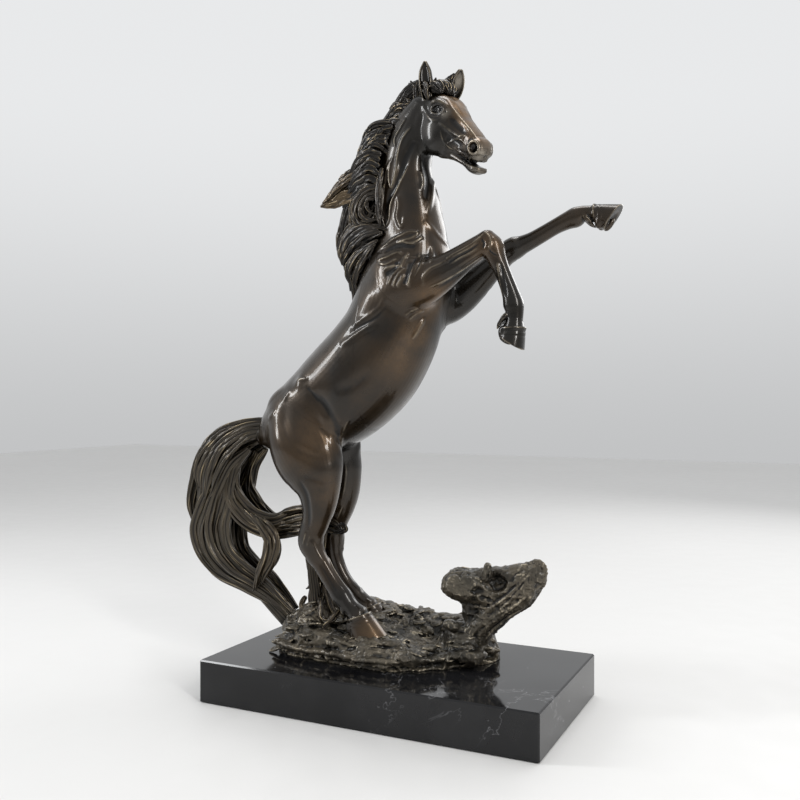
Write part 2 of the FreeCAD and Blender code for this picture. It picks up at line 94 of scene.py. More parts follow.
def tube(rows, side=(0, 1, 0), step=2.5, n=40, cap0=0.8, cap1=0.8, power=2.0, taper=0.0):
    """A loft through rows of x, y, z, half width along u, half depth along +v, half depth along -v. Rounded ends."""
    S, _ = spline(rows, step)
    C = S[:, :3]
    t, u, v = ring_frames(C, side)
    S = S.copy()
    S[:, 3:6] = np.maximum(S[:, 3:6], 0.3)
    ends = []
    for which, cap in ((0, cap0), (-1, cap1)):
        if cap > 0:
            r = min(S[which, 3], 0.5 * (S[which, 4] + S[which, 5])) * cap
            a = np.linspace(0, 1, 7)[1:-1] if r > 1.5 else np.array([0.5, 0.85])
            sgn = -1 if which == 0 else 1
            ext = []
            for q in a:
                row = S[which].copy()
                row[:3] += sgn * t[which] * r * q
                row[3:6] *= math.sqrt(1 - q * q)
                ext.append((row, t[which], u[which], v[which]))
            row = S[which].copy()
            row[:3] += sgn * t[which] * r * 0.995
            row[3:6] *= 0.1
            ext.append((row, t[which], u[which], v[which]))
            if which == 0:
                ext = ext[::-1]
            ends.append(ext)
        else:
            ends.append([])
    if ends[0]:
        S = np.concatenate([np.array([e[0] for e in ends[0]]), S])
        u = np.concatenate([np.array([e[2] for e in ends[0]]), u])
        v = np.concatenate([np.array([e[3] for e in ends[0]]), v])
    if ends[1]:
        S = np.concatenate([S, np.array([e[0] for e in ends[1]])])
        u = np.concatenate([u, np.array([e[2] for e in ends[1]])])
        v = np.concatenate([v, np.array([e[3] for e in ends[1]])])
    f = np.linspace(0, 2 * np.pi, n, endpoint=False)
    c, s = np.cos(f), np.sin(f)
    e = 2.0 / power
    cu, sv = np.sign(c) * np.abs(c) ** e, np.sign(s) * np.abs(s) ** e
    tp = S[:, 6] if S.shape[1] > 6 else np.full(len(S), taper)
    w = 1 - tp[:, None] * sv[None, :]
    R = (
        S[:, None, :3]
        + (S[:, 3][:, None] * cu[None, :] * w)[:, :, None] * u[:, None, :]
        + (np.where(sv[None, :] > 0, S[:, 4][:, None], S[:, 5][:, None]) * sv[None, :])[:, :, None] * v[:, None, :]
    )
    return skin(R)


def framed(stations, n=40, per=6, power=2.0):
    """A loft through stations of centre, u, v, half width, half depth along +v, half depth along -v, with flat ends."""
    A = np.array([np.concatenate([s[0], s[1], s[2], s[3:6]]) for s in stations], float)
    S, _ = spline(A, max(0.5, np.linalg.norm(A[-1, :3] - A[0, :3]) / (per * (len(A) - 1))))
    f = np.linspace(0, 2 * np.pi, n, endpoint=False)
    c, s = np.cos(f), np.sin(f)
    e = 2.0 / power
    cu, sv = np.sign(c) * np.abs(c) ** e, np.sign(s) * np.abs(s) ** e
    R = (
        S[:, None, :3]
        + (S[:, 9][:, None] * cu[None, :])[:, :, None] * S[:, None, 3:6]
        + (np.where(sv[None, :] > 0, S[:, 10][:, None], S[:, 11][:, None]) * sv[None, :])[:, :, None] * S[:, None, 6:9]
    )
    return skin(R)


class Vol:
    """A dense block of signed distances, in mm, on a grid that starts at lo."""

    def __init__(self, lo, hi, h, far=30.0):
        self.lo = np.asarray(lo, float)
        self.h = float(h)
        self.n = np.ceil((np.asarray(hi, float) - self.lo) / h).astype(int) + 1
        self.d = np.full(self.n, far, np.float32)
        self.far = far
        self.ax = [(self.lo[i] + self.h * np.arange(self.n[i])).astype(np.float32) for i in range(3)]

    def sub(self, lo, hi):
        i0 = np.maximum(np.floor((np.asarray(lo) - self.lo) / self.h).astype(int), 0)
        i1 = np.minimum(np.ceil((np.asarray(hi) - self.lo) / self.h).astype(int) + 1, self.n)
        if (i1 <= i0).any():
            return None
        sl = tuple(slice(a, b) for a, b in zip(i0, i1))
        return sl, self.ax[0][sl[0]][:, None, None], self.ax[1][sl[1]][None, :, None], self.ax[2][sl[2]][None, None, :]

    def union(self, sl, b, k):
        a = self.d[sl]
        if k <= 0:
            np.minimum(a, b, out=a)
            return
        h = np.clip(0.5 + 0.5 * (b - a) / k, 0, 1)
        self.d[sl] = b * (1 - h) + a * h - k * h * (1 - h)

    def cut(self, sl, b, k):
        """Takes the shape b away."""
        a = self.d[sl]
        if k <= 0:
            np.maximum(a, -b, out=a)
            return
        h = np.clip(0.5 - 0.5 * (a + b) / k, 0, 1)
        self.d[sl] = a * (1 - h) - b * h + k * h * (1 - h)

    def mesh_field(self, pts, quads, tris, pad):
        lo, hi = pts.min(0) - pad, pts.max(0) + pad
        got = self.sub(lo, hi)
        if got is None:
            return None
        sl = got[0]
        i0 = np.array([s.start for s in sl])
        shape = [s.stop - s.start for s in sl]
        t = vdb.createLinearTransform(voxelSize=self.h)
        w = float(pad / self.h)
        g = vdb.FloatGrid.createLevelSetFromPolygons(
            np.ascontiguousarray((pts - self.lo).astype(np.float32)),
            np.ascontiguousarray(tris.astype(np.uint32)) if len(tris) else None,
            np.ascontiguousarray(quads.astype(np.uint32)) if len(quads) else None,
            t, w, w,
        )
        out = np.empty(shape, np.float32)
        g.copyToArray(out, ijk=tuple(int(x) for x in i0))
        return sl, out

    def add_mesh(self, mesh, k=0.0, pad=None, grow=0.0):
        pts, quads, tris = mesh
        pad = pad if pad is not None else max(3 * self.h, k + 2 * self.h + 1.5, 5.0)
        got = self.mesh_field(pts, quads, tris, pad)
        if got:
            self.union(got[0], got[1] - grow, k)

    def cut_mesh(self, mesh, k=0.0, pad=None, grow=0.0):
        pts, quads, tris = mesh
        pad = pad if pad is not None else max(3 * self.h, k + 2 * self.h + 1.5)
        got = self.mesh_field(pts, quads, tris, pad)
        if got:
            self.cut(got[0], got[1] - grow, k)

    def ell_field(self, c, r, axes=None, pad=6.0):
        c, r = np.asarray(c, float), np.asarray(r, float)
        A = np.eye(3) if axes is None else np.asarray(axes, float)
        ext = np.sqrt(((A * r[:, None]) ** 2).sum(0)) + pad
        got = self.sub(c - ext, c + ext)
        if got is None:
            return None
        sl, X, Y, Z = got
        X, Y, Z = X - np.float32(c[0]), Y - np.float32(c[1]), Z - np.float32(c[2])
        q = [(np.float32(A[i, 0]) * X + np.float32(A[i, 1]) * Y + np.float32(A[i, 2]) * Z) / np.float32(r[i]) for i in range(3)]
        k1 = np.sqrt(q[0] ** 2 + q[1] ** 2 + q[2] ** 2)
        k2 = np.sqrt((q[0] / np.float32(r[0])) ** 2 + (q[1] / np.float32(r[1])) ** 2 + (q[2] / np.float32(r[2])) ** 2)
        return sl, (k1 * (k1 - 1) / np.maximum(k2, 1e-6)).astype(np.float32)

    def ell(self, c, r, k=4.0, axes=None, cut=False):
        got = self.ell_field(c, r, axes, k + 2 * self.h + 1.5)
        if got:
            (self.cut if cut else self.union)(got[0], got[1], k)

    def line_dist(self, pts, pad):
        """Yields slices and squared distances to each segment of a polyline, with the place along it."""
        P = np.asarray(pts, float)
        for i in range(len(P) - 1):
            a, b = P[i], P[i + 1]
            got = self.sub(np.minimum(a, b) - pad, np.maximum(a, b) + pad)
            if got is None:
                continue
            sl, X, Y, Z = got
            d = b - a
            L2 = max(float(d @ d), 1e-9)
            X, Y, Z = X - np.float32(a[0]), Y - np.float32(a[1]), Z - np.float32(a[2])
            t = np.clip((X * np.float32(d[0]) + Y * np.float32(d[1]) + Z * np.float32(d[2])) / np.float32(L2), 0, 1)
            q = (X - t * np.float32(d[0])) ** 2 + (Y - t * np.float32(d[1])) ** 2 + (Z - t * np.float32(d[2])) ** 2
            yield i, sl, q, t

    def sample(self, p):
        """Trilinear distance and gradient at points (n, 3)."""
        q = (np.asarray(p, float) - self.lo) / self.h
        q = np.clip(q, 1.001, self.n - 2.001)
        i = np.floor(q).astype(int)
        f = q - i
        D = self.d
        c = {}
        for dx in (0, 1):
            for dy in (0, 1):
                for dz in (0, 1):
                    c[dx, dy, dz] = D[i[:, 0] + dx, i[:, 1] + dy, i[:, 2] + dz]
        fx, fy, fz = f.T
        x00 = c[0, 0, 0] * (1 - fx) + c[1, 0, 0] * fx
        x10 = c[0, 1, 0] * (1 - fx) + c[1, 1, 0] * fx
        x01 = c[0, 0, 1] * (1 - fx) + c[1, 0, 1] * fx
        x11 = c[0, 1, 1] * (1 - fx) + c[1, 1, 1] * fx
        y0, y1 = x00 * (1 - fy) + x10 * fy, x01 * (1 - fy) + x11 * fy
        d = y0 * (1 - fz) + y1 * fz
        gz = (y1 - y0) / self.h
        gy = ((x10 - x00) * (1 - fz) + (x11 - x01) * fz) / self.h
        gx = (
            ((c[1, 0, 0] - c[0, 0, 0]) * (1 - fy) + (c[1, 1, 0] - c[0, 1, 0]) * fy) * (1 - fz)
            + ((c[1, 0, 1] - c[0, 0, 1]) * (1 - fy) + (c[1, 1, 1] - c[0, 1, 1]) * fy) * fz
        ) / self.h
        return d, np.stack([gx, gy, gz], -1)

    def inside(self, p):
        p = np.atleast_2d(p)
        hi = self.lo + self.h * (self.n - 1)
        return bool(((p > self.lo + 2 * self.h) & (p < hi - 2 * self.h)).all())

    def settle(self, pts, steps=6):
        """Moves points onto the surface along the gradient."""
        p = np.array(pts, float)
        for _ in range(steps):
            d, g = self.sample(p)
            m = np.maximum((g ** 2).sum(1), 0.05)
            p = p - (d / m)[:, None] * g * 0.9
        return p

    def blur(self, times=1, lo=None, hi=None):
        a = self.d
        for _ in range(times):
            for ax in range(3):
                s0 = [slice(None)] * 3
                s1, s2 = list(s0), list(s0)
                s0[ax], s1[ax], s2[ax] = slice(1, -1), slice(0, -2), slice(2, None)
                b = a.copy()
                b[tuple(s0)] = 0.5 * a[tuple(s0)] + 0.25 * (a[tuple(s1)] + a[tuple(s2)])
                a = b
        self.d = a

    def mesh(self, adaptivity=0.0, iso=0.0):
        a = self.d
        # a closed surface needs the border outside
        for ax in range(3):
            s = [slice(None)] * 3
            for e in (0, -1):
                s[ax] = e
                np.maximum(a[tuple(s)], self.h, out=a[tuple(s)])
        g = vdb.FloatGrid(self.far)
        band = 3.0 * self.h
        g.copyFromArray(np.clip(a, -band, band).astype(np.float32))
        g.transform = vdb.createLinearTransform(voxelSize=self.h)
        if adaptivity > 0:
            p, t, q = g.convertToPolygons(iso, adaptivity)
        else:
            p, q = g.convertToQuads(iso)
            t = np.zeros((0, 3), np.uint32)
        p = np.asarray(p, float) + self.lo
        return p, np.asarray(q, np.int64)[:, ::-1], np.asarray(t, np.int64)[:, ::-1]




def leg_point(rows, i, ang, side=(0, 1, 0)):
    """Centre and outward direction at station i (a float) and angle ang in degrees of a tube."""
    P = np.asarray(rows, float)
    t, u, v = ring_frames(P[:, :3], side)
    a = int(min(max(math.floor(i), 0), len(P) - 2))
    f = i - a
    lerp = lambda q: q[a] * (1 - f) + q[a + 1] * f
    c, uu, vv = lerp(P[:, :3]), unit(lerp(u)), unit(lerp(v))
    r = lerp(P[:, 3:6])
    th = math.radians(ang)
    b = r[1] if math.sin(th) > 0 else r[2]
    d = uu * math.cos(th) * r[0] + vv * math.sin(th) * b
    return c + d


def smooth_path(pts, step=1.2):
    return spline(np.asarray(pts, float), step)[0] if len(pts) > 2 else spline(np.asarray(pts, float), step)[0]


def stroke(V, pts, w, amp, ends=0.25, settle=True, flat=0.0):
    """Raises (amp > 0) or sinks (amp < 0) the surface along a path, with a bell section of width w in mm."""
    P = np.asarray(pts, float)
    hi = V.lo + V.h * (V.n - 1)
    if (P.max(0) < V.lo - 2 * w).any() or (P.min(0) > hi + 2 * w).any():
        return
    P = smooth_path(P, max(1.0, w * 0.7))
    if settle and V.inside(P):
        P = V.settle(P, 4)
    pad = 2.4 * w + V.h
    got = V.sub(P.min(0) - pad, P.max(0) + pad)
    if got is None:
        return
    sl, X, Y, Z = got
    shape = (X.shape[0], Y.shape[1], Z.shape[2])
    if 0 in shape:
        return
    best = np.full(shape, 1e9, np.float32)
    par = np.zeros(shape, np.float32)
    seg = np.linalg.norm(np.diff(P, axis=0), axis=1)
    s = np.concatenate([[0], np.cumsum(seg)])
    L = max(s[-1], 1e-6)
    lo = np.array([X[0, 0, 0], Y[0, 0, 0], Z[0, 0, 0]], float)
    for i in range(len(P) - 1):
        a, b = P[i], P[i + 1]
        i0 = np.maximum(((np.minimum(a, b) - pad - lo) / V.h).astype(int), 0)
        i1 = np.minimum(((np.maximum(a, b) + pad - lo) / V.h).astype(int) + 2, shape)
        if (i1 <= i0).any():
            continue
        q = tuple(slice(p, r) for p, r in zip(i0, i1))
        x, y, z = X[q[0]] - np.float32(a[0]), Y[:, q[1]] - np.float32(a[1]), Z[:, :, q[2]] - np.float32(a[2])
        d = (b - a).astype(np.float32)
        t = np.clip((x * d[0] + y * d[1] + z * d[2]) / max(float(d @ d), 1e-9), 0, 1)
        r2 = (x - t * d[0]) ** 2 + (y - t * d[1]) ** 2 + (z - t * d[2]) ** 2
        m = r2 < best[q]
        best[q] = np.where(m, r2, best[q])
        par[q] = np.where(m, (s[i] + t * seg[i]) / L, par[q])
    fade = np.ones_like(par) if ends <= 0 else np.clip(np.minimum(par, 1 - par) / ends, 0, 1) ** 0.7
    g = np.exp(-best / np.float32(w * w)) * fade
    V.d[sl] -= np.float32(amp) * g


def bump(V, c, r, amp):
    """A soft swelling (or dip) of radius r round a point of the surface."""
    c = np.asarray(c, float)
    got = V.sub(c - 2.2 * r, c + 2.2 * r)
    if got is None:
        return
    sl, X, Y, Z = got
    q = (X - np.float32(c[0])) ** 2 + (Y - np.float32(c[1])) ** 2 + (Z - np.float32(c[2])) ** 2
    V.d[sl] -= np.float32(amp) * np.exp(-q / np.float32(r * r))


def hash3(i, j, k, seed):
    n = (i.astype(np.uint32) * np.uint32(374761393) + j.astype(np.uint32) * np.uint32(668265263) + k.astype(np.uint32) * np.uint32(2246822519) + np.uint32(seed * 3266489917 & 0xFFFFFFFF)).astype(np.uint32)
    n = (n ^ (n >> np.uint32(13))) * np.uint32(1274126177)
    n = n ^ (n >> np.uint32(16))
    return n.astype(np.float32) / np.float32(4294967295.0)


def noise(X, Y, Z, size, seed=0):
    """Value noise, 0 to 1, on broadcastable coordinates."""
    x, y, z = np.broadcast_arrays(X / size, Y / size, Z / size)
    ix, iy, iz = np.floor(x), np.floor(y), np.floor(z)
    fx, fy, fz = x - ix, y - iy, z - iz
    ix, iy, iz = ix.astype(np.int64), iy.astype(np.int64), iz.astype(np.int64)
    fx, fy, fz = (f * f * (3 - 2 * f) for f in (fx, fy, fz))
    o = 0
    for a in (0, 1):
        wx = fx if a else 1 - fx
        for b in (0, 1):
            wy = fy if b else 1 - fy
            for c in (0, 1):
                wz = fz if c else 1 - fz
                o = o + hash3(ix + a, iy + b, iz + c, seed) * (wx * wy * wz)
    return o.astype(np.float32)


def lock(path, width, depth, side, ridges=5, seed=0, amp=0.22, n=72, step=1.0, twist=0.0, tip=0.12, root=0.7, heights=False):
    """One lock of hair: a flattened sweep with strands along it. width and depth are lists along the path."""
    P = np.asarray(path, float)
    k = len(P)
    width = np.interp(np.linspace(0, 1, k), np.linspace(0, 1, len(width)), width)
    depth = np.interp(np.linspace(0, 1, k), np.linspace(0, 1, len(depth)), depth)
    S, par = spline(np.column_stack([P, width, depth]), step)
    C = S[:, :3]
    t, u, v = ring_frames(C, side)
    f = par / max(par[-1], 1e-6)
    rng = np.random.default_rng(seed)
    ph = rng.uniform(0, 2 * np.pi, 6)
    m = len(S)
    phi = np.linspace(0, 2 * np.pi, n, endpoint=False)
    tw = np.radians(twist) * f
    cu, sv = np.cos(phi), np.sin(phi)
    # strands: sharp ridges between soft valleys, drifting along the lock
    drift = 0.55 * np.sin(2.2 * np.pi * f + ph[0]) + 0.35 * np.sin(5.1 * np.pi * f + ph[1])
    arg = ridges * phi[None, :] + drift[:, None] * 2.0 + 0.5 * np.sin(2 * phi[None, :] + ph[2])
    w1 = 1 - np.abs(np.sin(arg * 0.5)) ** 0.8 * 1.0
    arg2 = (2 * ridges + 1) * phi[None, :] + ph[3] + 3.0 * np.sin(3.0 * np.pi * f + ph[4])[:, None]
    w2 = 0.5 + 0.5 * np.cos(arg2)
    prof = 1 - amp * (w1 * 0.9 + 0.28 * w2 * (1 - 0.5 * w1))
    env = np.ones(m)
    e0, e1 = root, tip
    env *= np.clip(f / 0.06, 0, 1) ** 0.5 * (1 - e0) + e0
    rr = prof * env[:, None]
    uu = np.cos(tw)[:, None] * u + np.sin(tw)[:, None] * v
    vv = -np.sin(tw)[:, None] * u + np.cos(tw)[:, None] * v
    R = C[:, None, :] + (S[:, 3][:, None] * cu * rr)[:, :, None] * uu[:, None, :] + (S[:, 4][:, None] * sv * rr)[:, :, None] * vv[:, None, :]
    if heights:
        hgt = np.clip((prof - (1 - amp)) / amp, 0, 1) ** 2 * np.clip((1 - f) / 0.04, 0.3, 1)[:, None]
        return skin(R) + (np.concatenate([hgt.ravel(), [0.3, 0.3]]),)
    return skin(R)


def folds(V, table, k=1.3):
    """The folds, veins and hollows of the skin; a mirrored one is worked on both sides."""
    for w, a, both, pts in table:
        P = np.array(pts, float)
        stroke(V, P, w, a * k)
        if both:
            stroke(V, P * np.array([1, -1, 1]), w, a * k)


T = {
    "trunk": [
        (-142.1, 0, 232, 13, 10, 10, 0.06),
        (-130.7, 0, 235.1, 23, 21, 19, 0.06),
        (-112.7, 0, 242, 32, 32, 28, 0.06),
        (-92.8, 0, 251.7, 36, 39, 37, 0.06),
        (-71.2, 0, 263.9, 38.5, 44, 45, 0.06),
        (-48, 0, 282.3, 40.5, 46, 49, 0.06),
        (-26.3, 0, 303, 41, 45.5, 48.5, 0.06),
        (-9.2, 0, 326, 39.5, 44, 44, 0.06),
        (0.8, 0, 350.6, 37, 42.5, 41, 0.06),
        (6.7, 0, 374.4, 34, 40, 40, 0.09),
        (9.6, 0, 391, 30.5, 35.3, 36, 0.14),
        (11.6, 0, 406, 27, 33, 33.5, 0.2),
        (10.8, -0.5, 428.1, 23, 30.5, 28.5, 0.2),
        (7.4, -1.5, 450.3, 19.5, 28, 26.8, 0.2),
        (7.1, -3, 472.2, 17, 24.5, 24, 0.2),
        (11.5, -4, 491.7, 15.5, 21, 23, 0.2),
        (18.7, -5, 509, 14, 18, 21, 0.2),
        (26.9, -6, 521.6, 12.5, 13.5, 18, 0.2),
    ],
    "foreleg_right": [
        (2.6, -16, 382.3, 15, 22, 22),
        (15.6, -23, 366.8, 17, 22, 22),
        (32.6, -27, 365.5, 16, 19, 20),
        (47.8, -28, 371.2, 14, 16, 17),
        (62.3, -28, 378.7, 12, 13, 13.5),
        (74.8, -28, 386.2, 10, 11, 11),
        (85.4, -28, 392.1, 9, 10, 10),
        (94.1, -28, 396.4, 8.5, 9.5, 9),
    ],
    "foreleg_right_lower": [
        (93.2, -28, 399.7, 7, 7, 8),
        (97.6, -28, 392.8, 9, 9.5, 10.5),
        (101.4, -28, 382.8, 7.5, 8, 8),
        (105.3, -28, 374.4, 6.2, 6.6, 6.8),
        (110, -28, 363.6, 6, 6.2, 6.8),
        (114.2, -28, 352, 6.6, 7, 7.5),
        (116.4, -28, 343.8, 7.6, 8, 8.8),
        (117, -28, 337.4, 6.8, 7.2, 7.2),
        (116.9, -28, 330.9, 6.8, 6.8, 7),
        (116.5, -28, 326.1, 8, 8.5, 8.5),
    ],
    "foreleg_left": [
        (23.8, 14, 356.3, 15, 20, 20),
        (34, 22, 353, 16, 20, 19),
        (45.5, 27, 359.2, 14.5, 17, 17.5),
        (58.5, 28, 368.5, 12.5, 14.5, 15),
        (70.8, 28, 378.5, 11, 12, 12.5),
        (82, 28, 387.5, 9.8, 10.5, 10.5),
        (91.3, 28, 395.2, 9.2, 9.5, 9.5),
        (99.5, 28, 399.9, 8.6, 9.5, 8.8),
    ],
    "foreleg_left_lower": [
        (86.7, 28, 394.2, 7, 7, 7),
        (94.9, 28, 397.6, 9, 10, 9.5),
        (103.1, 28, 400.9, 7.8, 8.5, 8.5),
        (113.1, 28, 404.9, 6.6, 7, 7.5),
        (124.6, 28, 410.5, 6.2, 6.4, 7.2),
        (135.2, 28, 415.6, 6.2, 6.4, 7),
        (144.8, 28, 419.5, 6.8, 7.2, 7.8),
        (153.4, 28, 422.2, 7.6, 8.3, 8.8),
        (159.4, 28, 424.2, 6.6, 6.6, 6.4),
        (164.5, 28, 424.3, 6.4, 6, 6.2),
        (168.7, 28, 423.6, 7.6, 7.2, 7.4),
    ],
    "hindleg_right": [
        (-111.6, -12, 262.9, 16, 16, 16),
        (-99.7, -17, 248.2, 22, 28, 26),
        (-89.6, -21, 230.2, 24, 35.5, 31.5),
        (-79.6, -23.5, 212.3, 22, 35, 32),
        (-72.1, -24.5, 197.3, 18.5, 28, 27),
        (-68.4, -24.5, 183.9, 15.5, 20, 21),
        (-68.8, -24, 170.3, 13, 15.5, 16.5),
        (-72.2, -23.5, 157.4, 10.5, 12.8, 13.6),
        (-76.7, -23, 146.2, 9, 12, 12.5),
        (-77.3, -23, 137.1, 8.6, 11.8, 13),
        (-73.6, -23, 128.3, 7.8, 10, 10.2),
        (-67.3, -23, 119.7, 6.8, 8.2, 8.2),
        (-59.5, -23, 108.6, 6.4, 7.6, 7.8),
        (-51.7, -23, 98.6, 6.8, 8, 8.4),
        (-45.1, -23, 91.2, 8, 9.3, 9.8),
        (-39.5, -23, 85, 7.6, 8.4, 8.8),
        (-33.9, -23, 80.3, 7.6, 8, 8.5),
        (-28.9, -23, 76.8, 9, 9, 9),
    ],
    "hindleg_left": [
        (-103.5, 12, 262.8, 16, 16, 16),
        (-97.6, 17, 247.5, 22, 28, 26),
        (-91.7, 21, 228.3, 24, 35.5, 31),
        (-84.9, 23.5, 209.2, 22, 34, 31),
        (-78.3, 24.5, 194, 18.5, 27, 26),
        (-74.5, 24.5, 179.9, 15.5, 20, 20),
        (-75.3, 24, 165.6, 13, 15.5, 16),
        (-78.8, 23.5, 152.1, 10.5, 12.5, 13),
        (-81.8, 23, 140.5, 9, 11.8, 12),
        (-82.4, 23, 130.9, 8.6, 11.5, 12.5),
        (-80.8, 23, 121.4, 7.8, 9.5, 9.8),
        (-77.5, 23, 112.1, 6.8, 8, 8),
        (-71.5, 23, 100.3, 6.4, 7.4, 7.6),
        (-64.4, 23, 90.4, 6.8, 7.8, 8.2),
        (-58, 23, 83.9, 8, 9, 9.5),
        (-51.5, 23, 78.9, 7.6, 8.2, 8.6),
        (-46.2, 23, 75.7, 7.6, 7.8, 8.2),
        (-41.5, 23, 72.9, 9, 8.8, 8.8),
    ],
}
HOOF = {
    "rf": {"cf": (126.0, -28.0, 325.4), "cb": (106.6, -28.0, 325.6), "toe": (124.4, -28.0, 306.9), "heel": (104.9, -28.0, 318.7), "a0": 9.5, "a1": 11.5},
    "lf": {"cf": (168.2, 28.0, 431.2), "cb": (169.4, 28.0, 415.8), "toe": (191.9, 28.0, 428.7), "heel": (177.1, 28.0, 408.0), "a0": 8.6, "a1": 11.5},
    "rh": {"cf": (-18.4, -23.0, 80.3), "cb": (-39.0, -23.0, 72.2), "toe": (-1.2, -23.0, 61.4), "heel": (-36.4, -23.0, 57.8), "a0": 9.8, "a1": 13},
    "lh": {"cf": (-32.0, 23.0, 77.6), "cb": (-51.5, 23.0, 68.1), "toe": (-20.6, 23.0, 66.2), "heel": (-49.9, 23.0, 59.8), "a0": 9.8, "a1": 12.5},
}

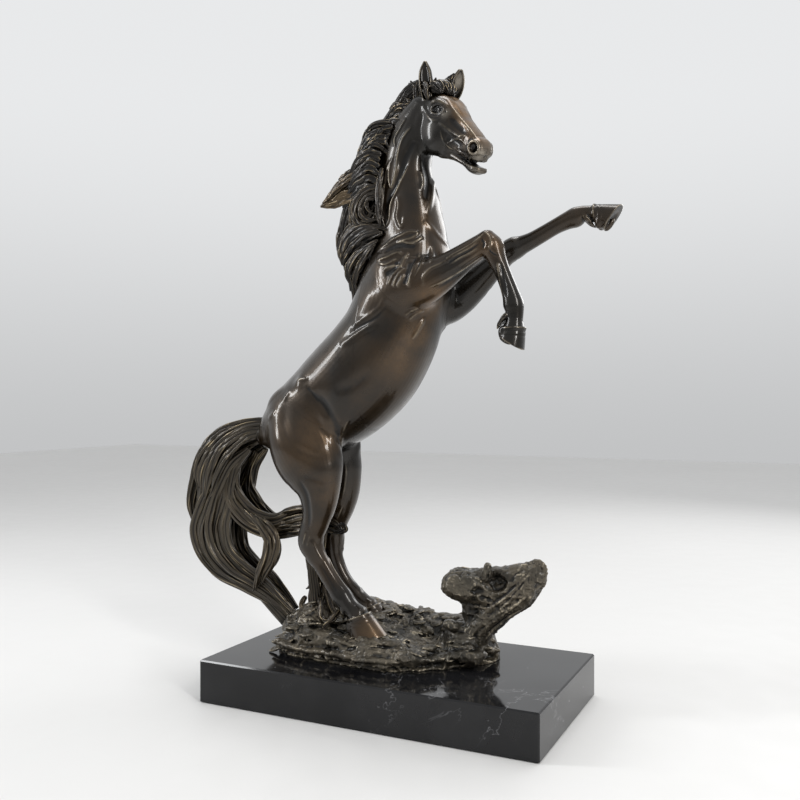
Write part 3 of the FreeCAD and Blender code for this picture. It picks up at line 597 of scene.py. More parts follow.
# surface folds: width, rise, mirrored, path
FOLDS = [
    (1.47, 2.03, 1, [(-10.2, -23.6, 396.1), (-1.1, -26.1, 400.3), (6.6, -26.1, 404.9), (14.7, -27, 407.6), (24.1, -26.9, 410.3), (29.3, -26, 408.7), (26.4, -27.9, 405.2), (18.5, -29, 403.1), (10.7, -28.6, 401.6)]),
    (1.3, 1.5, 1, [(34.1, -24.1, 405.7), (26.1, -29.2, 400.4), (16.8, -29.4, 401.5)]),
    (1.53, 1.95, 1, [(-6.7, -32.3, 386), (6.2, -34.9, 389), (13.9, -33.2, 392.2), (20.4, -33, 390)]),
    (1.3, 1.35, 1, [(-3.8, -34.3, 384.7), (5.5, -37.4, 382.4), (14.9, -35.4, 386.7)]),
    (1.3, 1.35, 1, [(3.1, -38.3, 377.7), (10, -38.8, 379.8), (17.4, -38.5, 380.6), (21.6, -39.6, 378.1)]),
    (1.42, 1.8, 1, [(9.7, -41.9, 364.2), (13.4, -41.9, 370.7), (19.8, -39.7, 378.2), (21.8, -34, 387.3), (23.4, -31.5, 392.6)]),
    (1.3, 1.65, 1, [(14.7, -42.6, 362.1), (19.1, -42.1, 371.2), (23.5, -39.5, 378)]),
    (1.3, 1.5, 1, [(18.6, -43, 361.9), (22.3, -43, 367.6), (24.6, -42, 372.6)]),
    (1.47, 1.95, 1, [(28.9, -43.1, 361.3), (31.5, -42.7, 370.4), (33.3, -36.6, 381.1), (32.7, -27.4, 390.9)]),
    (1.3, 1.8, 1, [(31.6, -43, 368.7), (34.8, -37.9, 380), (35.8, -27.9, 387.2), (39.2, -39.7, 378.7), (33.5, -43.1, 367.8)]),
    (1.42, 1.65, 1, [(42.1, -42, 361.6), (43.2, -42.4, 369.8), (48.2, -41.4, 375.4), (56.7, -40.3, 379.1), (65, -39, 383.7), (75.1, -37.8, 388.1), (83.6, -37, 392.5), (91.9, -36.2, 399.3)]),
    (2.2, 0.84, 0, [(33.3, -20.4, 420.9), (38.9, -16.1, 414.3), (43.3, -8.8, 406.6), (45.3, 6.4, 400.1)]),
    (1.8, 1.3, 0, [(40.4, -19.5, 399.1), (40.9, -20.5, 391.3), (49.2, -39.7, 380.5)]),
    (1.4, 1.3, 1, [(21.4, -33.2, 338.2), (26.6, -32.3, 342.3), (32.6, -31.2, 344.7)]),
    (1.4, 1.17, 1, [(24.1, -30.9, 334.9), (29.5, -28.4, 340), (35.4, -25, 343.4)]),
    (1.6, 1.43, 1, [(34.3, -20.4, 337.1), (29.3, -23.9, 326.7), (24.8, -26.4, 318.2)]),
    (2.76, 0.84, 1, [(5.8, -39.9, 353.6), (0.2, -38.3, 345.5), (-9.3, -38.6, 339), (-19.5, -37.7, 335.1), (-28, -36.4, 331.2)]),
    (3.2, 1.17, 1, [(-38.7, -38.7, 314.9), (-28.2, -39.6, 318.9), (-16.6, -39.4, 326.3), (0.5, -38.8, 333.5)]),
    (3.45, -0.58, 1, [(6.5, -39.5, 351.9), (-1.5, -38.6, 340.4), (-12.9, -39, 332.2), (-29.1, -38, 325.1)]),
    (2.64, -1.8, 1, [(0.3, -30.9, 394.3), (10.4, -30, 398.9), (22.8, -30.2, 398.8), (29.5, -28.5, 396.8)]),
    (2.2, -1.5, 1, [(5.8, -40, 373.1), (11.6, -40.1, 376.1), (17.4, -36.6, 383.8)]),
    (2.2, -1.5, 1, [(25.2, -43.2, 363.2), (27.6, -42.4, 371.5), (27.8, -34.9, 383.4)]),
    (1.3, 1.38, 1, [(22.1, -19.5, 503.7), (13, -19.5, 493.7), (8.3, -19.7, 479.5), (6.5, -20, 464.9), (1.5, -19.6, 452.4), (-0.8, -18.9, 458.9), (1, -18.6, 474.5), (3.1, -18.9, 479.4)]),
    (1.2, 1.15, 1, [(15.2, -18, 511.1), (8.3, -17.8, 501.6), (3.8, -17.3, 493.7), (4.8, -18.5, 487.1)]),
    (1.4, 1.38, 1, [(-0.3, -18, 476.5), (-5.7, -16.9, 459.9), (-8.7, -15.9, 442.8), (-7.8, -16.7, 426.8), (-3.3, -19.8, 418.9), (0.7, -21, 425.3)]),
    (1.4, 1.26, 1, [(17.9, -19.7, 469.7), (12.7, -20.8, 458.8), (8, -21, 448.9), (1.9, -20.4, 437.5), (0.2, -20.9, 423.6)]),
    (2.2, 1.26, 1, [(8.2, -21.5, 443.6), (10.7, -22.6, 434.5), (9.5, -23.2, 425.9), (14.8, -25.2, 416.4), (17.2, -24.4, 425)]),
    (2.4, 1.15, 1, [(27, -14.8, 465.5), (29.4, -13.7, 456.9), (29.5, -16.1, 447.8)]),
    (3, -1.26, 1, [(16.1, -19.9, 482.8), (8.8, -20.6, 457.6), (-2.8, -18.8, 437.3), (-3.7, -19, 425.1)]),
    (3.2, -1.38, 1, [(23.3, -19.1, 490.8), (14.3, -20.3, 470), (10.7, -20.7, 459.1)]),
    (2.4, 1.38, 1, [(32.2, 1.4, 459.9), (35.5, -10.4, 439.7), (34.7, -17.2, 426.5)]),
    (3, -1.38, 1, [(31.6, -16.5, 481.8), (30.9, -8.7, 462.2), (32.9, -15.2, 439)]),
    (0.95, 0.9, 1, [(60.1, -39.9, 380.6), (69.1, -38.1, 386.8), (78.4, -37.1, 391.2), (87.6, -36.1, 397.2), (94.1, -35, 402.6)]),
    (0.85, 0.8, 1, [(64.4, -39.7, 377.1), (73.6, -38.2, 383.2), (81.9, -37.1, 386.9), (91.3, -36.7, 392)]),
    (0.9, -0.7, 1, [(62.7, -39.9, 378.8), (71.9, -38.4, 385), (80.2, -37.4, 389), (89.6, -36.7, 394.5)]),
    (1.1, 0.8, 1, [(46, -40.6, 359.9), (57.6, -38.3, 364.5), (69, -35.6, 370.7), (80.1, -32.4, 377.9), (91.4, -32.5, 384.5)]),
    (1, 0.9, 1, [(92.8, -33.8, 403.7), (98.2, -35.7, 398.9), (99.5, -36.8, 392.2), (96.2, -36, 386.9)]),
    (1.3, -0.8, 1, [(91.1, -36.3, 398.5), (93.9, -37, 394.2), (92.7, -36, 388.7)]),
    (1.1, 1.12, 1, [(104.2, -34.6, 378.5), (106.2, -33.1, 364), (108.4, -32, 349.5)]),
    (1.1, -1.12, 1, [(106.9, -33.9, 378.4), (109.9, -34, 363.7), (112.7, -34.5, 349.8)]),
    (3, -0.8, 1, [(48.4, -37.9, 356.7), (63.5, -35.2, 365.3), (78, -31.5, 375.6), (90.6, -32.5, 384.5)]),
    (2.6, 0.8, 1, [(56.7, -40.4, 369.2), (71.5, -37.6, 376.9), (84.7, -35.4, 384.5), (95.6, -36.9, 390.8)]),
    (1, -0.7, 1, [(96.5, -36.9, 390.8), (100.5, -36.1, 385.8), (105.1, -34.6, 383.2)]),
    (3.6, 0.9, 1, [(-61.8, -37.2, 265.1), (-55.8, -35.4, 249.2), (-50.4, -28.8, 230.4), (-46.5, -17.7, 211.2)]),
    (4.4, -1.1, 1, [(-66.4, -38.3, 274.8), (-53.8, -37, 261.6), (-46.2, -32.6, 245.7), (-46.8, -22.6, 232.9)]),
    (2, -0.5, 1, [(-74.5, -36.9, 279.3), (-66.4, -38.2, 272.2), (-60.7, -37.4, 266)]),
    (1.8, 0.7, 1, [(-87.9, -32.1, 283.9), (-81.4, -34.2, 285.6), (-72.9, -36, 285.1)]),
    (2.6, 0.5, 1, [(-94.6, -31.7, 275.8), (-98, -33, 270.4), (-99.8, -35.3, 265)]),
    (2.6, 0.5, 1, [(-106.4, -36.7, 257.7), (-111.2, -35.9, 253.1), (-117.8, -32.6, 248.4)]),
    (5.5, -0.7, 1, [(-96.2, -34.2, 268.6), (-93.7, -43, 244.5), (-83, -46.6, 226.1), (-64.6, -42.9, 216.7), (-48.5, -32.1, 212.1)]),
    (5, -0.5, 1, [(-79.9, -41.6, 245.5), (-67.5, -41.5, 235.1), (-56.9, -38.6, 224.6)]),
    (3.4, -0.4, 1, [(-78.7, -43.5, 199.4), (-61.6, -41.1, 197.3), (-51.3, -34.3, 192.7)]),
    (2.6, -1.1, 1, [(-78.2, -42.6, 195.8), (-72.6, -39.9, 183.4), (-71.9, -36, 167), (-75.1, -32.6, 150.3)]),
    (1.1, 0.6, 1, [(-77.5, -32.1, 148.3), (-81.3, -31, 136.2)]),
    (1.1, 0.5, 1, [(-73.4, -31.9, 146.7), (-76.9, -31.4, 134.7)]),
    (2.4, 0.9, 1, [(-72.8, -31.2, 141.3), (-67.8, -29.1, 130.6), (-62.2, -28.1, 121.9)]),
    (2.4, -0.7, 1, [(-66.5, -29.6, 123.6), (-54.3, -29.2, 105.8), (-42.2, -30.8, 90.4)]),
    (1.6, 0.8, 1, [(-81.7, 14.3, 133.1), (-58.9, -19.5, 122.5), (-45.1, -22.1, 103.5), (-32.9, -24, 89.9)]),
    (1.5, 0.8, 1, [(-64.8, 13.1, 168.3), (-74, 14, 149.8), (-80.7, 14.3, 134.2)]),
    (2, 0.8, 1, [(-60.1, 10.4, 208.9), (-60.5, 11.2, 196.7), (-65.2, 11.9, 173.1)]),
    (1.4, 0.9, 0, [(-33.7, -31.6, 251.1), (-41.3, -26.9, 240.3), (-47.7, -21, 230.1), (-48.3, -18.1, 221.9)]),
    (5, -0.8, 1, [(-42.9, -40.1, 273.9), (-26.2, -39.7, 279), (-7.6, -38.1, 291)]),
]

# hair: piece, first guide, second guide or None, how many between, half widths, thickness, strands, mirrored
COMBS = [
    ("crest", [(29.7, -8.0, 515.4), (25.4, -9.0, 528.7), (19.6, -9.0, 538.3), (15.8, -8.0, 545.7)], None, 1, [3.5, 3.6, 2.6, 0.6], 0.8, 5, 1),
    ("crest", [(25.8, -12.0, 516.5), (21.9, -12.0, 528.3), (21.5, -11.0, 537.4), (22.0, -10.0, 545.0)], None, 1, [3, 3, 2.4, 0.6], 0.8, 4, 1),
    ("crest", [(32.9, -11.0, 512.4), (30.0, -13.0, 524.3), (27.2, -13.0, 533.3), (23.9, -11.0, 541.4)], None, 1, [3, 2.8, 2, 0.6], 0.8, 4, 1),
    ("crest", [(26.0, -4.0, 518.8), (20.2, -4.0, 532.7), (14.4, -4.0, 539.7), (11.5, -4.0, 546.3)], None, 1, [4, 4, 3, 0.8], 0.8, 5, 0),
    ("crest", [(24.4, -9.0, 519.3), (13.8, -9.0, 525.2), (5.6, -8.0, 527.5), (-2.8, -7.0, 524.5)], [(10.4, -12.0, 499.4), (3.1, -11.0, 505.9), (-3.7, -9.0, 506.4), (-9.2, -8.0, 502.1)], 5, [4.2, 4.2, 3.2, 0.8], 0.8, 4, 1),
    ("crest", [(14.4, -4.0, 515.1), (4.2, -3.0, 525.6), (-3.7, -3.0, 526.7), (-7.7, -3.0, 522.8)], [(2.2, -3.0, 499.3), (-5.7, -3.0, 507.4), (-13.7, -3.0, 506.6), (-19.7, -3.0, 500.2)], 3, [5, 5, 4, 1], 0.8, 5, 0),
    ("crest", [(32.6, -6.0, 519.1), (24.0, -6.0, 531.6), (17.7, -6.0, 540.4), (13.9, -6.0, 547.1)], None, 1, [5, 5, 3.6, 0.8], 0.9, 4, 0),
    ("crest", [(27.4, -3.0, 525.9), (22.6, -3.0, 534.4), (19.7, -3.0, 541.9), (18.8, -3.0, 548.2)], None, 1, [4, 4, 3, 0.8], 0.9, 4, 0),
    ("crest", [(22.6, -5.0, 519.0), (13.9, -5.0, 527.2), (7.1, -5.0, 532.1), (2.2, -5.0, 534.1)], None, 1, [5, 5.2, 3.8, 0.8], 0.9, 4, 0),
    ("crest", [(17.8, -5.0, 516.1), (7.1, -5.0, 524.6), (-0.8, -5.0, 527.5), (-7.2, -5.0, 525.7)], None, 1, [5, 5.4, 4.2, 0.8], 0.9, 4, 0),
    ("crest", [(13.4, -6.0, 511.2), (3.6, -6.0, 517.8), (-3.2, -6.0, 517.8), (-7.7, -6.0, 513.1)], None, 1, [5, 5.2, 4, 0.8], 0.9, 4, 0),
    ("upper", [(0.2, -11.0, 509.8), (-9.7, -11.0, 511.1), (-21.1, -10.0, 510.2), (-28.7, -9.0, 503.4), (-34.3, -8.0, 492.7)], None, 1, [3, 4.2, 4.2, 3.4, 1], 0.8, 6, 1),
    ("upper", [(0.7, -14.0, 506.3), (-7.7, -15.0, 505.3), (-13.3, -15.5, 499.8), (-12.8, -15.5, 490.9), (-6.7, -15.0, 485.9), (1.9, -14.5, 482.4), (4.6, -14.0, 478.7)], None, 1, [2.4, 2.8, 2.6, 2.4, 2.2, 1.8, 0.6], 0.9, 4, 1),
    ("upper", [(-1.8, -15.0, 501.1), (-5.4, -15.5, 497.0), (-5.4, -15.5, 491.7), (-0.8, -15.0, 486.9)], None, 1, [1.6, 2.0, 1.8, 0.6], 0.9, 3, 1),
    ("upper", [(-1.3, -14.0, 503.0), (-13.1, -14.0, 503.6), (-24.1, -12.0, 499.4), (-31.8, -9.0, 491.2), (-38.5, -6.0, 483.7)], [(-10.1, -18.0, 476.8), (-18.0, -18.0, 481.2), (-29.6, -15.0, 477.9), (-40.4, -10.0, 470.4), (-49.8, -6.0, 462.3)], 6, [2.6, 3.8, 4.2, 3.6, 1.0], 0.8, 4, 1),
    ("upper", [(-9.8, -18.5, 471.4), (-18.0, -18.0, 475.9), (-30.6, -15.0, 472.7), (-41.4, -10.0, 466.0), (-50.3, -7.0, 457.6)], [(-12.0, -20.0, 451.1), (-21.2, -19.5, 455.6), (-33.1, -16.0, 453.1), (-44.0, -11.0, 447.1), (-52.9, -8.0, 442.2)], 4, [2.6, 3.6, 4.0, 3.4, 1.0], 0.8, 4, 1),
    ("upper", [(-12.2, -2.0, 503.1), (-24.3, -2.0, 506.5), (-32.4, -2.0, 496.6), (-37.5, -2.0, 484.6), (-42.7, -2.0, 474.3)], [(-23.8, -3.0, 468.4), (-36.0, -3.0, 469.7), (-44.2, -3.0, 461.5), (-50.5, -3.0, 453.0), (-55.7, -3.0, 446.2)], 4, [5, 6, 6, 5, 1.5], 0.9, 5, 0),
    ("flying", [(-25.1, -12.0, 468.3), (-38.8, -11.0, 468.2), (-50.7, -10.0, 462.5), (-63.8, -9.0, 454.0), (-75.5, -9.0, 445.9)], [(-31.2, -12.0, 447.5), (-41.9, -11.0, 448.7), (-51.8, -10.0, 448.1), (-62.8, -9.0, 445.2), (-74.4, -9.0, 444.5)], 5, [4.05, 5.4, 5.13, 4.05, 1.08], 0.55, 4, 0),
    ("flying", [(-38.4, -10.0, 472.0), (-46.6, -10.0, 470.2), (-53.4, -9.0, 468.4), (-57.0, -9.0, 467.0)], None, 1, [4.86, 4.32, 2.97, 0.81], 0.6, 4, 0),
    ("flying", [(-30.8, -5.0, 465.1), (-45.2, -5.0, 464.8), (-56.7, -5.0, 458.7), (-66.6, -6.0, 451.2), (-75.6, -7.0, 445.4)], None, 1, [8.1, 9.45, 8.78, 6.08, 1.35], 0.5, 7, 0),
    ("lower", [(-10.0, -20.0, 454.4), (-22.4, -19.0, 452.3), (-32.6, -17.0, 444.9), (-37.2, -16.0, 433.9), (-33.8, -16.5, 425.1), (-24.0, -18.0, 420.4), (-11.0, -20.0, 418.6), (1.2, -21.0, 413.9)], None, 1, [3.2, 4.4, 4.8, 4.4, 3.8, 3.2, 2.4, 0.7], 0.7, 6, 1),
    ("lower", [(-11.5, -21.0, 447.3), (-20.9, -20.0, 445.8), (-27.7, -18.5, 438.8), (-27.7, -18.5, 430.8), (-21.2, -19.5, 425.7), (-11.5, -21.0, 425.0)], None, 1, [3.2, 3.6, 3.6, 3.2, 2.6, 0.8], 0.8, 5, 1),
    ("lower", [(-13.9, -22.0, 443.0), (-20.1, -21.5, 443.2), (-21.9, -21.0, 437.8), (-18.2, -21.5, 432.1), (-11.5, -22.0, 429.6)], None, 1, [1.8, 2.2, 2.0, 1.6, 0.5], 0.9, 3, 1),
    ("lower", [(-7.4, -19.5, 470.0), (-9.5, -21.0, 455.0), (-10.0, -22.0, 439.1), (-9.3, -22.5, 425.9), (-6.8, -22.5, 417.8)], None, 1, [2.6, 3.0, 2.8, 2.2, 0.7], 0.8, 4, 1),
    ("lower", [(-24.2, -6.0, 457.0), (-34.4, -6.0, 450.8), (-39.5, -6.0, 438.7), (-38.5, -6.0, 424.1), (-40.5, -6.0, 408.0)], None, 1, [7, 9, 9, 9, 5], 0.9, 8, 0),
    ("lower", [(-5.2, -12.0, 471.5), (-9.1, -14.0, 452.1), (-10.6, -15.0, 432.6), (-7.2, -16.0, 414.6)], None, 1, [4, 5.5, 6, 3], 0.9, 6, 0),
    ("lower", [(-14.1, -10.0, 444.5), (-19.1, -12.0, 431.3), (-23.1, -12.0, 416.5), (-29.2, -12.0, 402.7)], None, 1, [5, 7, 8, 4], 0.9, 6, 0),
    ("lower", [(-15.5, -19.0, 420.0), (-33.6, -15.0, 424.9), (-47.1, -11.0, 421.3), (-55.5, -9.0, 411.4), (-57.8, -8.5, 399.8), (-55.0, -8.0, 391.5)], [(-6.1, -22.0, 412.6), (-20.5, -19.0, 410.7), (-32.6, -15.0, 406.0), (-41.4, -12.0, 400.0), (-47.6, -10.0, 394.3), (-51.6, -8.5, 390.3)], 6, [2.6, 3.6, 4.0, 3.6, 3.0, 0.8], 0.75, 4, 1),
    ("lower", [(-37.5, -4.0, 440.7), (-47.8, -4.0, 434.3), (-55.1, -4.0, 422.2), (-58.3, -4.0, 407.8), (-57.2, -4.0, 396.7)], [(-31.4, -4.0, 414.9), (-39.6, -4.0, 406.4), (-45.8, -4.0, 397.8), (-48.9, -4.0, 388.9), (-48.9, -4.0, 379.8)], 3, [5, 6, 6, 5, 1.5], 0.9, 5, 0),
    ("lower", [(-10.5, -21.0, 407.0), (-26.0, -16.0, 401.0), (-37.8, -13.0, 395.1), (-45.0, -11.0, 387.7), (-46.6, -10.0, 379.8), (-42.8, -9.5, 371.5), (-41.0, -9.0, 360.7), (-42.5, -9.0, 351.7)], [(-14.9, -22.0, 401.9), (-25.0, -18.0, 394.4), (-31.1, -16.0, 388.0), (-36.2, -14.0, 380.5), (-39.1, -12.5, 373.7), (-37.6, -11.5, 365.6), (-38.9, -10.0, 357.8), (-41.7, -9.5, 350.7)], 4, [2.4, 3.4, 3.6, 3.4, 3.0, 2.6, 1.8, 0.6], 0.75, 4, 1),
    ("lower", [(-49.1, -11.0, 387.1), (-42.9, -13.0, 391.8), (-34.7, -15.0, 392.8), (-27.5, -17.0, 388.5)], None, 1, [1.6, 2.2, 2.0, 0.6], 0.9, 3, 1),
    ("tail_upper", [(-140.8, -2.0, 247.4), (-166.7, -8.0, 244.4), (-185.0, -12.0, 238.4), (-201.4, -14.0, 225.6), (-210.4, -15.0, 210.7), (-214.0, -15.0, 193.9), (-211.2, -14.0, 177.3)], [(-138.0, -6.0, 237.1), (-155.0, -13.0, 231.3), (-168.3, -17.0, 220.7), (-179.7, -19.0, 206.1), (-186.9, -19.0, 191.4), (-191.2, -18.0, 180.5), (-198.0, -17.0, 170.4)], 5, [3.81, 4.93, 5.6, 5.82, 5.15, 3.81, 1.01], 0.8, 4, 1),
    ("tail_upper", [(-145.8, 2.0, 239.6), (-177.0, 3.0, 239.1), (-199.9, 3.0, 228.8), (-217.1, 3.0, 210.4), (-227.1, 3.0, 186.0), (-232.1, 3.0, 160.6), (-228.4, 3.0, 137.6)], [(-145.8, 2.0, 233.8), (-169.2, 2.0, 223.6), (-188.3, 2.0, 207.4), (-201.6, 2.0, 187.1), (-210.2, 2.0, 166.8), (-213.9, 2.0, 146.7), (-212.7, 2.0, 126.8)], 3, [6, 9, 10, 11, 10, 8, 4], 1, 8, 0),
    ("tail_lower", [(-155.9, -10.0, 220.6), (-177.9, -12.0, 206.7), (-195.8, -12.0, 184.6), (-213.1, -10.0, 160.1), (-222.1, -8.0, 137.5), (-218.8, -6.0, 119.6), (-200.8, -4.0, 97.9), (-163.4, -3.0, 83.4), (-134.7, -1.0, 71.3), (-117.3, 0.0, 55.8)], [(-152.2, -12.0, 218.9), (-167.0, -14.0, 201.4), (-173.3, -15.0, 182.0), (-176.4, -14.0, 162.5), (-181.5, -12.0, 140.7), (-177.1, -10.0, 120.3), (-162.1, -8.0, 106.7), (-142.0, -7.0, 94.8), (-125.2, -5.0, 80.7), (-109.3, -2.0, 66.5)], 7, [3.81, 4.93, 5.38, 5.6, 5.38, 4.93, 4.48, 4.03, 3.81, 2.46], 0.8, 4, 1),
    ("tail_side", [(-162.5, -9.0, 216.6), (-169.2, -11.0, 199.2), (-169.7, -12.0, 181.9), (-161.5, -12.0, 168.8), (-147.5, -9.0, 156.8), (-132.2, -3.0, 152.2), (-116.9, 3.0, 159.0), (-99.3, 7.0, 164.3), (-80.8, 9.0, 163.2)], [(-157.6, -11.0, 214.9), (-175.2, -14.0, 189.5), (-176.4, -14.0, 165.4), (-163.1, -13.0, 149.7), (-146.3, -9.0, 141.6), (-129.9, -3.0, 139.9), (-114.7, 3.0, 142.0), (-99.4, 7.0, 144.4), (-80.8, 9.0, 149.0)], 4, [3.36, 4.26, 4.7, 4.7, 4.7, 4.7, 4.7, 4.26, 1.79], 0.8, 4, 1),
    ("tail_side", [(-91.1, 8.0, 147.6), (-76.5, 9.0, 144.6), (-65.7, 9.0, 143.4), (-58.8, 8.0, 146.8), (-61.9, 8.0, 151.3), (-68.4, 8.0, 149.0)], None, 1, [3.4, 3.6, 3.0, 2.4, 1.8, 0.6], 0.9, 4, 0),
    ("tail_side", [(-95.5, 8.0, 156.8), (-81.4, 10.0, 154.5), (-71.1, 11.0, 150.3), (-64.7, 11.0, 144.2)], None, 1, [4.4, 4.2, 3.4, 1.0], 0.9, 5, 0),
    ("tail_side", [(-158.5, -13.0, 161.4), (-142.2, -15.0, 150.2), (-131.3, -16.0, 136.9), (-132.5, -16.0, 120.8), (-141.1, -15.0, 103.9), (-146.3, -14.0, 88.1)], [(-141.5, -11.0, 153.6), (-122.6, -14.0, 142.9), (-116.9, -15.0, 128.4), (-120.8, -15.0, 115.0), (-129.8, -15.0, 103.9), (-137.2, -14.0, 93.7)], 4, [2.6, 4.0, 4.2, 4.0, 3.0, 0.8], 0.75, 4, 0),
    ("tail_side", [(-152.8, -8.0, 155.4), (-133.1, -10.0, 143.5), (-125.7, -11.0, 127.2), (-132.5, -11.0, 109.6), (-143.2, -12.0, 93.7)], None, 1, [5, 6.5, 6.5, 5, 1.5], 0.9, 7, 0),
    ("tail_drop", [(-100.0, 8.0, 154.6), (-98.9, 8.0, 129.1), (-96.7, 8.0, 110.3), (-91.1, 6.0, 95.0), (-91.9, 2.0, 78.8), (-84.0, -4.0, 60.3)], [(-80.2, 8.0, 153.9), (-82.4, 8.0, 130.3), (-83.5, 8.0, 111.3), (-76.9, 6.0, 93.5), (-70.8, 1.0, 79.2), (-56.1, -8.0, 64.2)], 4, [3.4, 4.2, 4.2, 4.0, 4.0, 1.2], 0.9, 4, 0),
    ("tail_drop", [(-85.6, 6.0, 106.8), (-89.7, 2.0, 97.8), (-94.0, 0.0, 91.2), (-97.3, 0.0, 89.0)], None, 1, [2.4, 2.4, 1.6, 0.5], 0.9, 3, 0),
    ("tail_drop", [(-79.9, 0.0, 84.1), (-77.3, -8.0, 76.7), (-71.0, -15.0, 67.9), (-60.8, -18.0, 66.0), (-51.4, -20.0, 72.0)], None, 1, [3.0, 3.4, 3.0, 2.4, 0.7], 0.9, 4, 0),
    ("tail_drop", [(-49.7, -12.0, 80.3), (-52.4, -20.0, 75.5), (-57.8, -25.0, 68.8), (-61.2, -28.0, 61.1), (-59.6, -29.0, 58.8)], None, 1, [1.6, 2.4, 2.4, 1.8, 0.6], 0.9, 3, 0),
    ("tail_drop", [(-98.5, 2.0, 81.9), (-100.4, -2.0, 75.9), (-94.5, -8.0, 69.4), (-83.4, -12.0, 65.9)], None, 1, [2.4, 3.0, 2.8, 0.8], 0.9, 4, 0),
    ("tail_drop", [(-74.6, 2.0, 91.6), (-62.8, 0.0, 87.6), (-57.4, -2.0, 85.7)], None, 1, [2.4, 2.0, 0.5], 0.9, 3, 0),
]



HEAD_AT = (36.5, -4.0, 528.0)
HEAD_YAW, HEAD_TILT, HEAD_ROLL = -26.0, -37.0, 2.0


def head_frame():
    y, t, r = map(math.radians, (HEAD_YAW, HEAD_TILT, HEAD_ROLL))
    fx = np.array([math.cos(y) * math.cos(t), math.sin(y) * math.cos(t), math.sin(t)])
    left = np.array([-math.sin(y), math.cos(y), 0.0])
    up = np.cross(fx, left)
    l2 = math.cos(r) * left + math.sin(r) * up
    return np.array([fx, l2, np.cross(fx, l2)])


HEADF = head_frame()


def H(*p):
    """Head-local millimetres (forward, left, up from the poll) to the row frame."""
    p = np.array(p if len(p) > 1 else p[0], float)
    return p @ HEADF + np.array(HEAD_AT)


SKULL = [
    # forward, top, bottom, half width
    (-8, 1, -22, 9.0), (2, 6.4, -30, 12.5), (12, 9.4, -35, 15.0), (22, 10.2, -37.5, 16.2), (34, 8.8, -37.5, 14.4), (45, 6.0, -34, 11.6), (55, 3.3, -28.6, 9.6),
    (65, 1.0, -24.8, 8.4), (74, -0.9, -22.6, 8.3), (80, -2.2, -20.4, 8.4), (82.4, -4.6, -19.6, 7.9), (84.0, -8.0, -18.8, 7.0),
]
JAW = [(42, -29, 9, 6, 7), (54, -26.8, 7.6, 4.2, 4.4), (64, -26.0, 6.6, 3.0, 3.2), (73, -26.0, 6.2, 2.6, 3.2), (80, -25.8, 6.8, 2.4, 3.7), (86, -24.6, 6.8, 2.5, 3.6), (90.5, -23.0, 5.2, 2.0, 2.8)]
EARS = [
    # path, opening direction, both head-local
    ([(7, -7, -6, 5, 5), (2.5, -11, 2.5, 5.2, 5.0), (-1.5, -12.8, 9, 6.2, 5.0), (-6.4, -13.4, 15, 6.2, 4.4), (-10.6, -13.6, 20.6, 4.9, 3.2), (-13.6, -13.8, 25.2, 2.0, 1.6)], (0.62, -0.78, 0.0)),
    ([(6, 9, -6, 5, 5), (4, 12.5, 3, 5.6, 5.2), (3.6, 14.4, 10.5, 6.8, 4.8), (3.0, 14.6, 17.5, 6.8, 4.2), (1.8, 14.4, 24, 5.3, 3.2), (0.8, 14.2, 28.8, 2.6, 1.9)], (0.92, -0.35, 0.0)),
]
EYE_AT, EYE_TILT = (25.6, 15.0, -0.6), 25.0


def skull_tube():
    rows = [[*H(x, 0, (a + b) / 2), w, (a - b) / 2, (a - b) / 2] for x, a, b, w in SKULL]
    return tube(rows, side=HEADF[1], n=64, step=1.2, power=2.75, cap0=0.6, cap1=0.3, taper=-0.07)


def ear_meshes(path, opening, thin=0.0, shift=0.0):
    o = unit(np.asarray(opening, float) @ HEADF)
    P = np.array([H(p[0], p[1], p[2]) for p in path])
    t = unit(P[-1] - P[1])
    side = unit(np.cross(o, t))
    rows = [[*(P[i] + o * shift * min(1.0, path[i][3] / 6)), max(0.35, path[i][3] - thin), max(0.3, path[i][4] - thin * 0.7), max(0.3, path[i][4] - thin * 0.7)] for i in range(len(path))]
    return rows, side


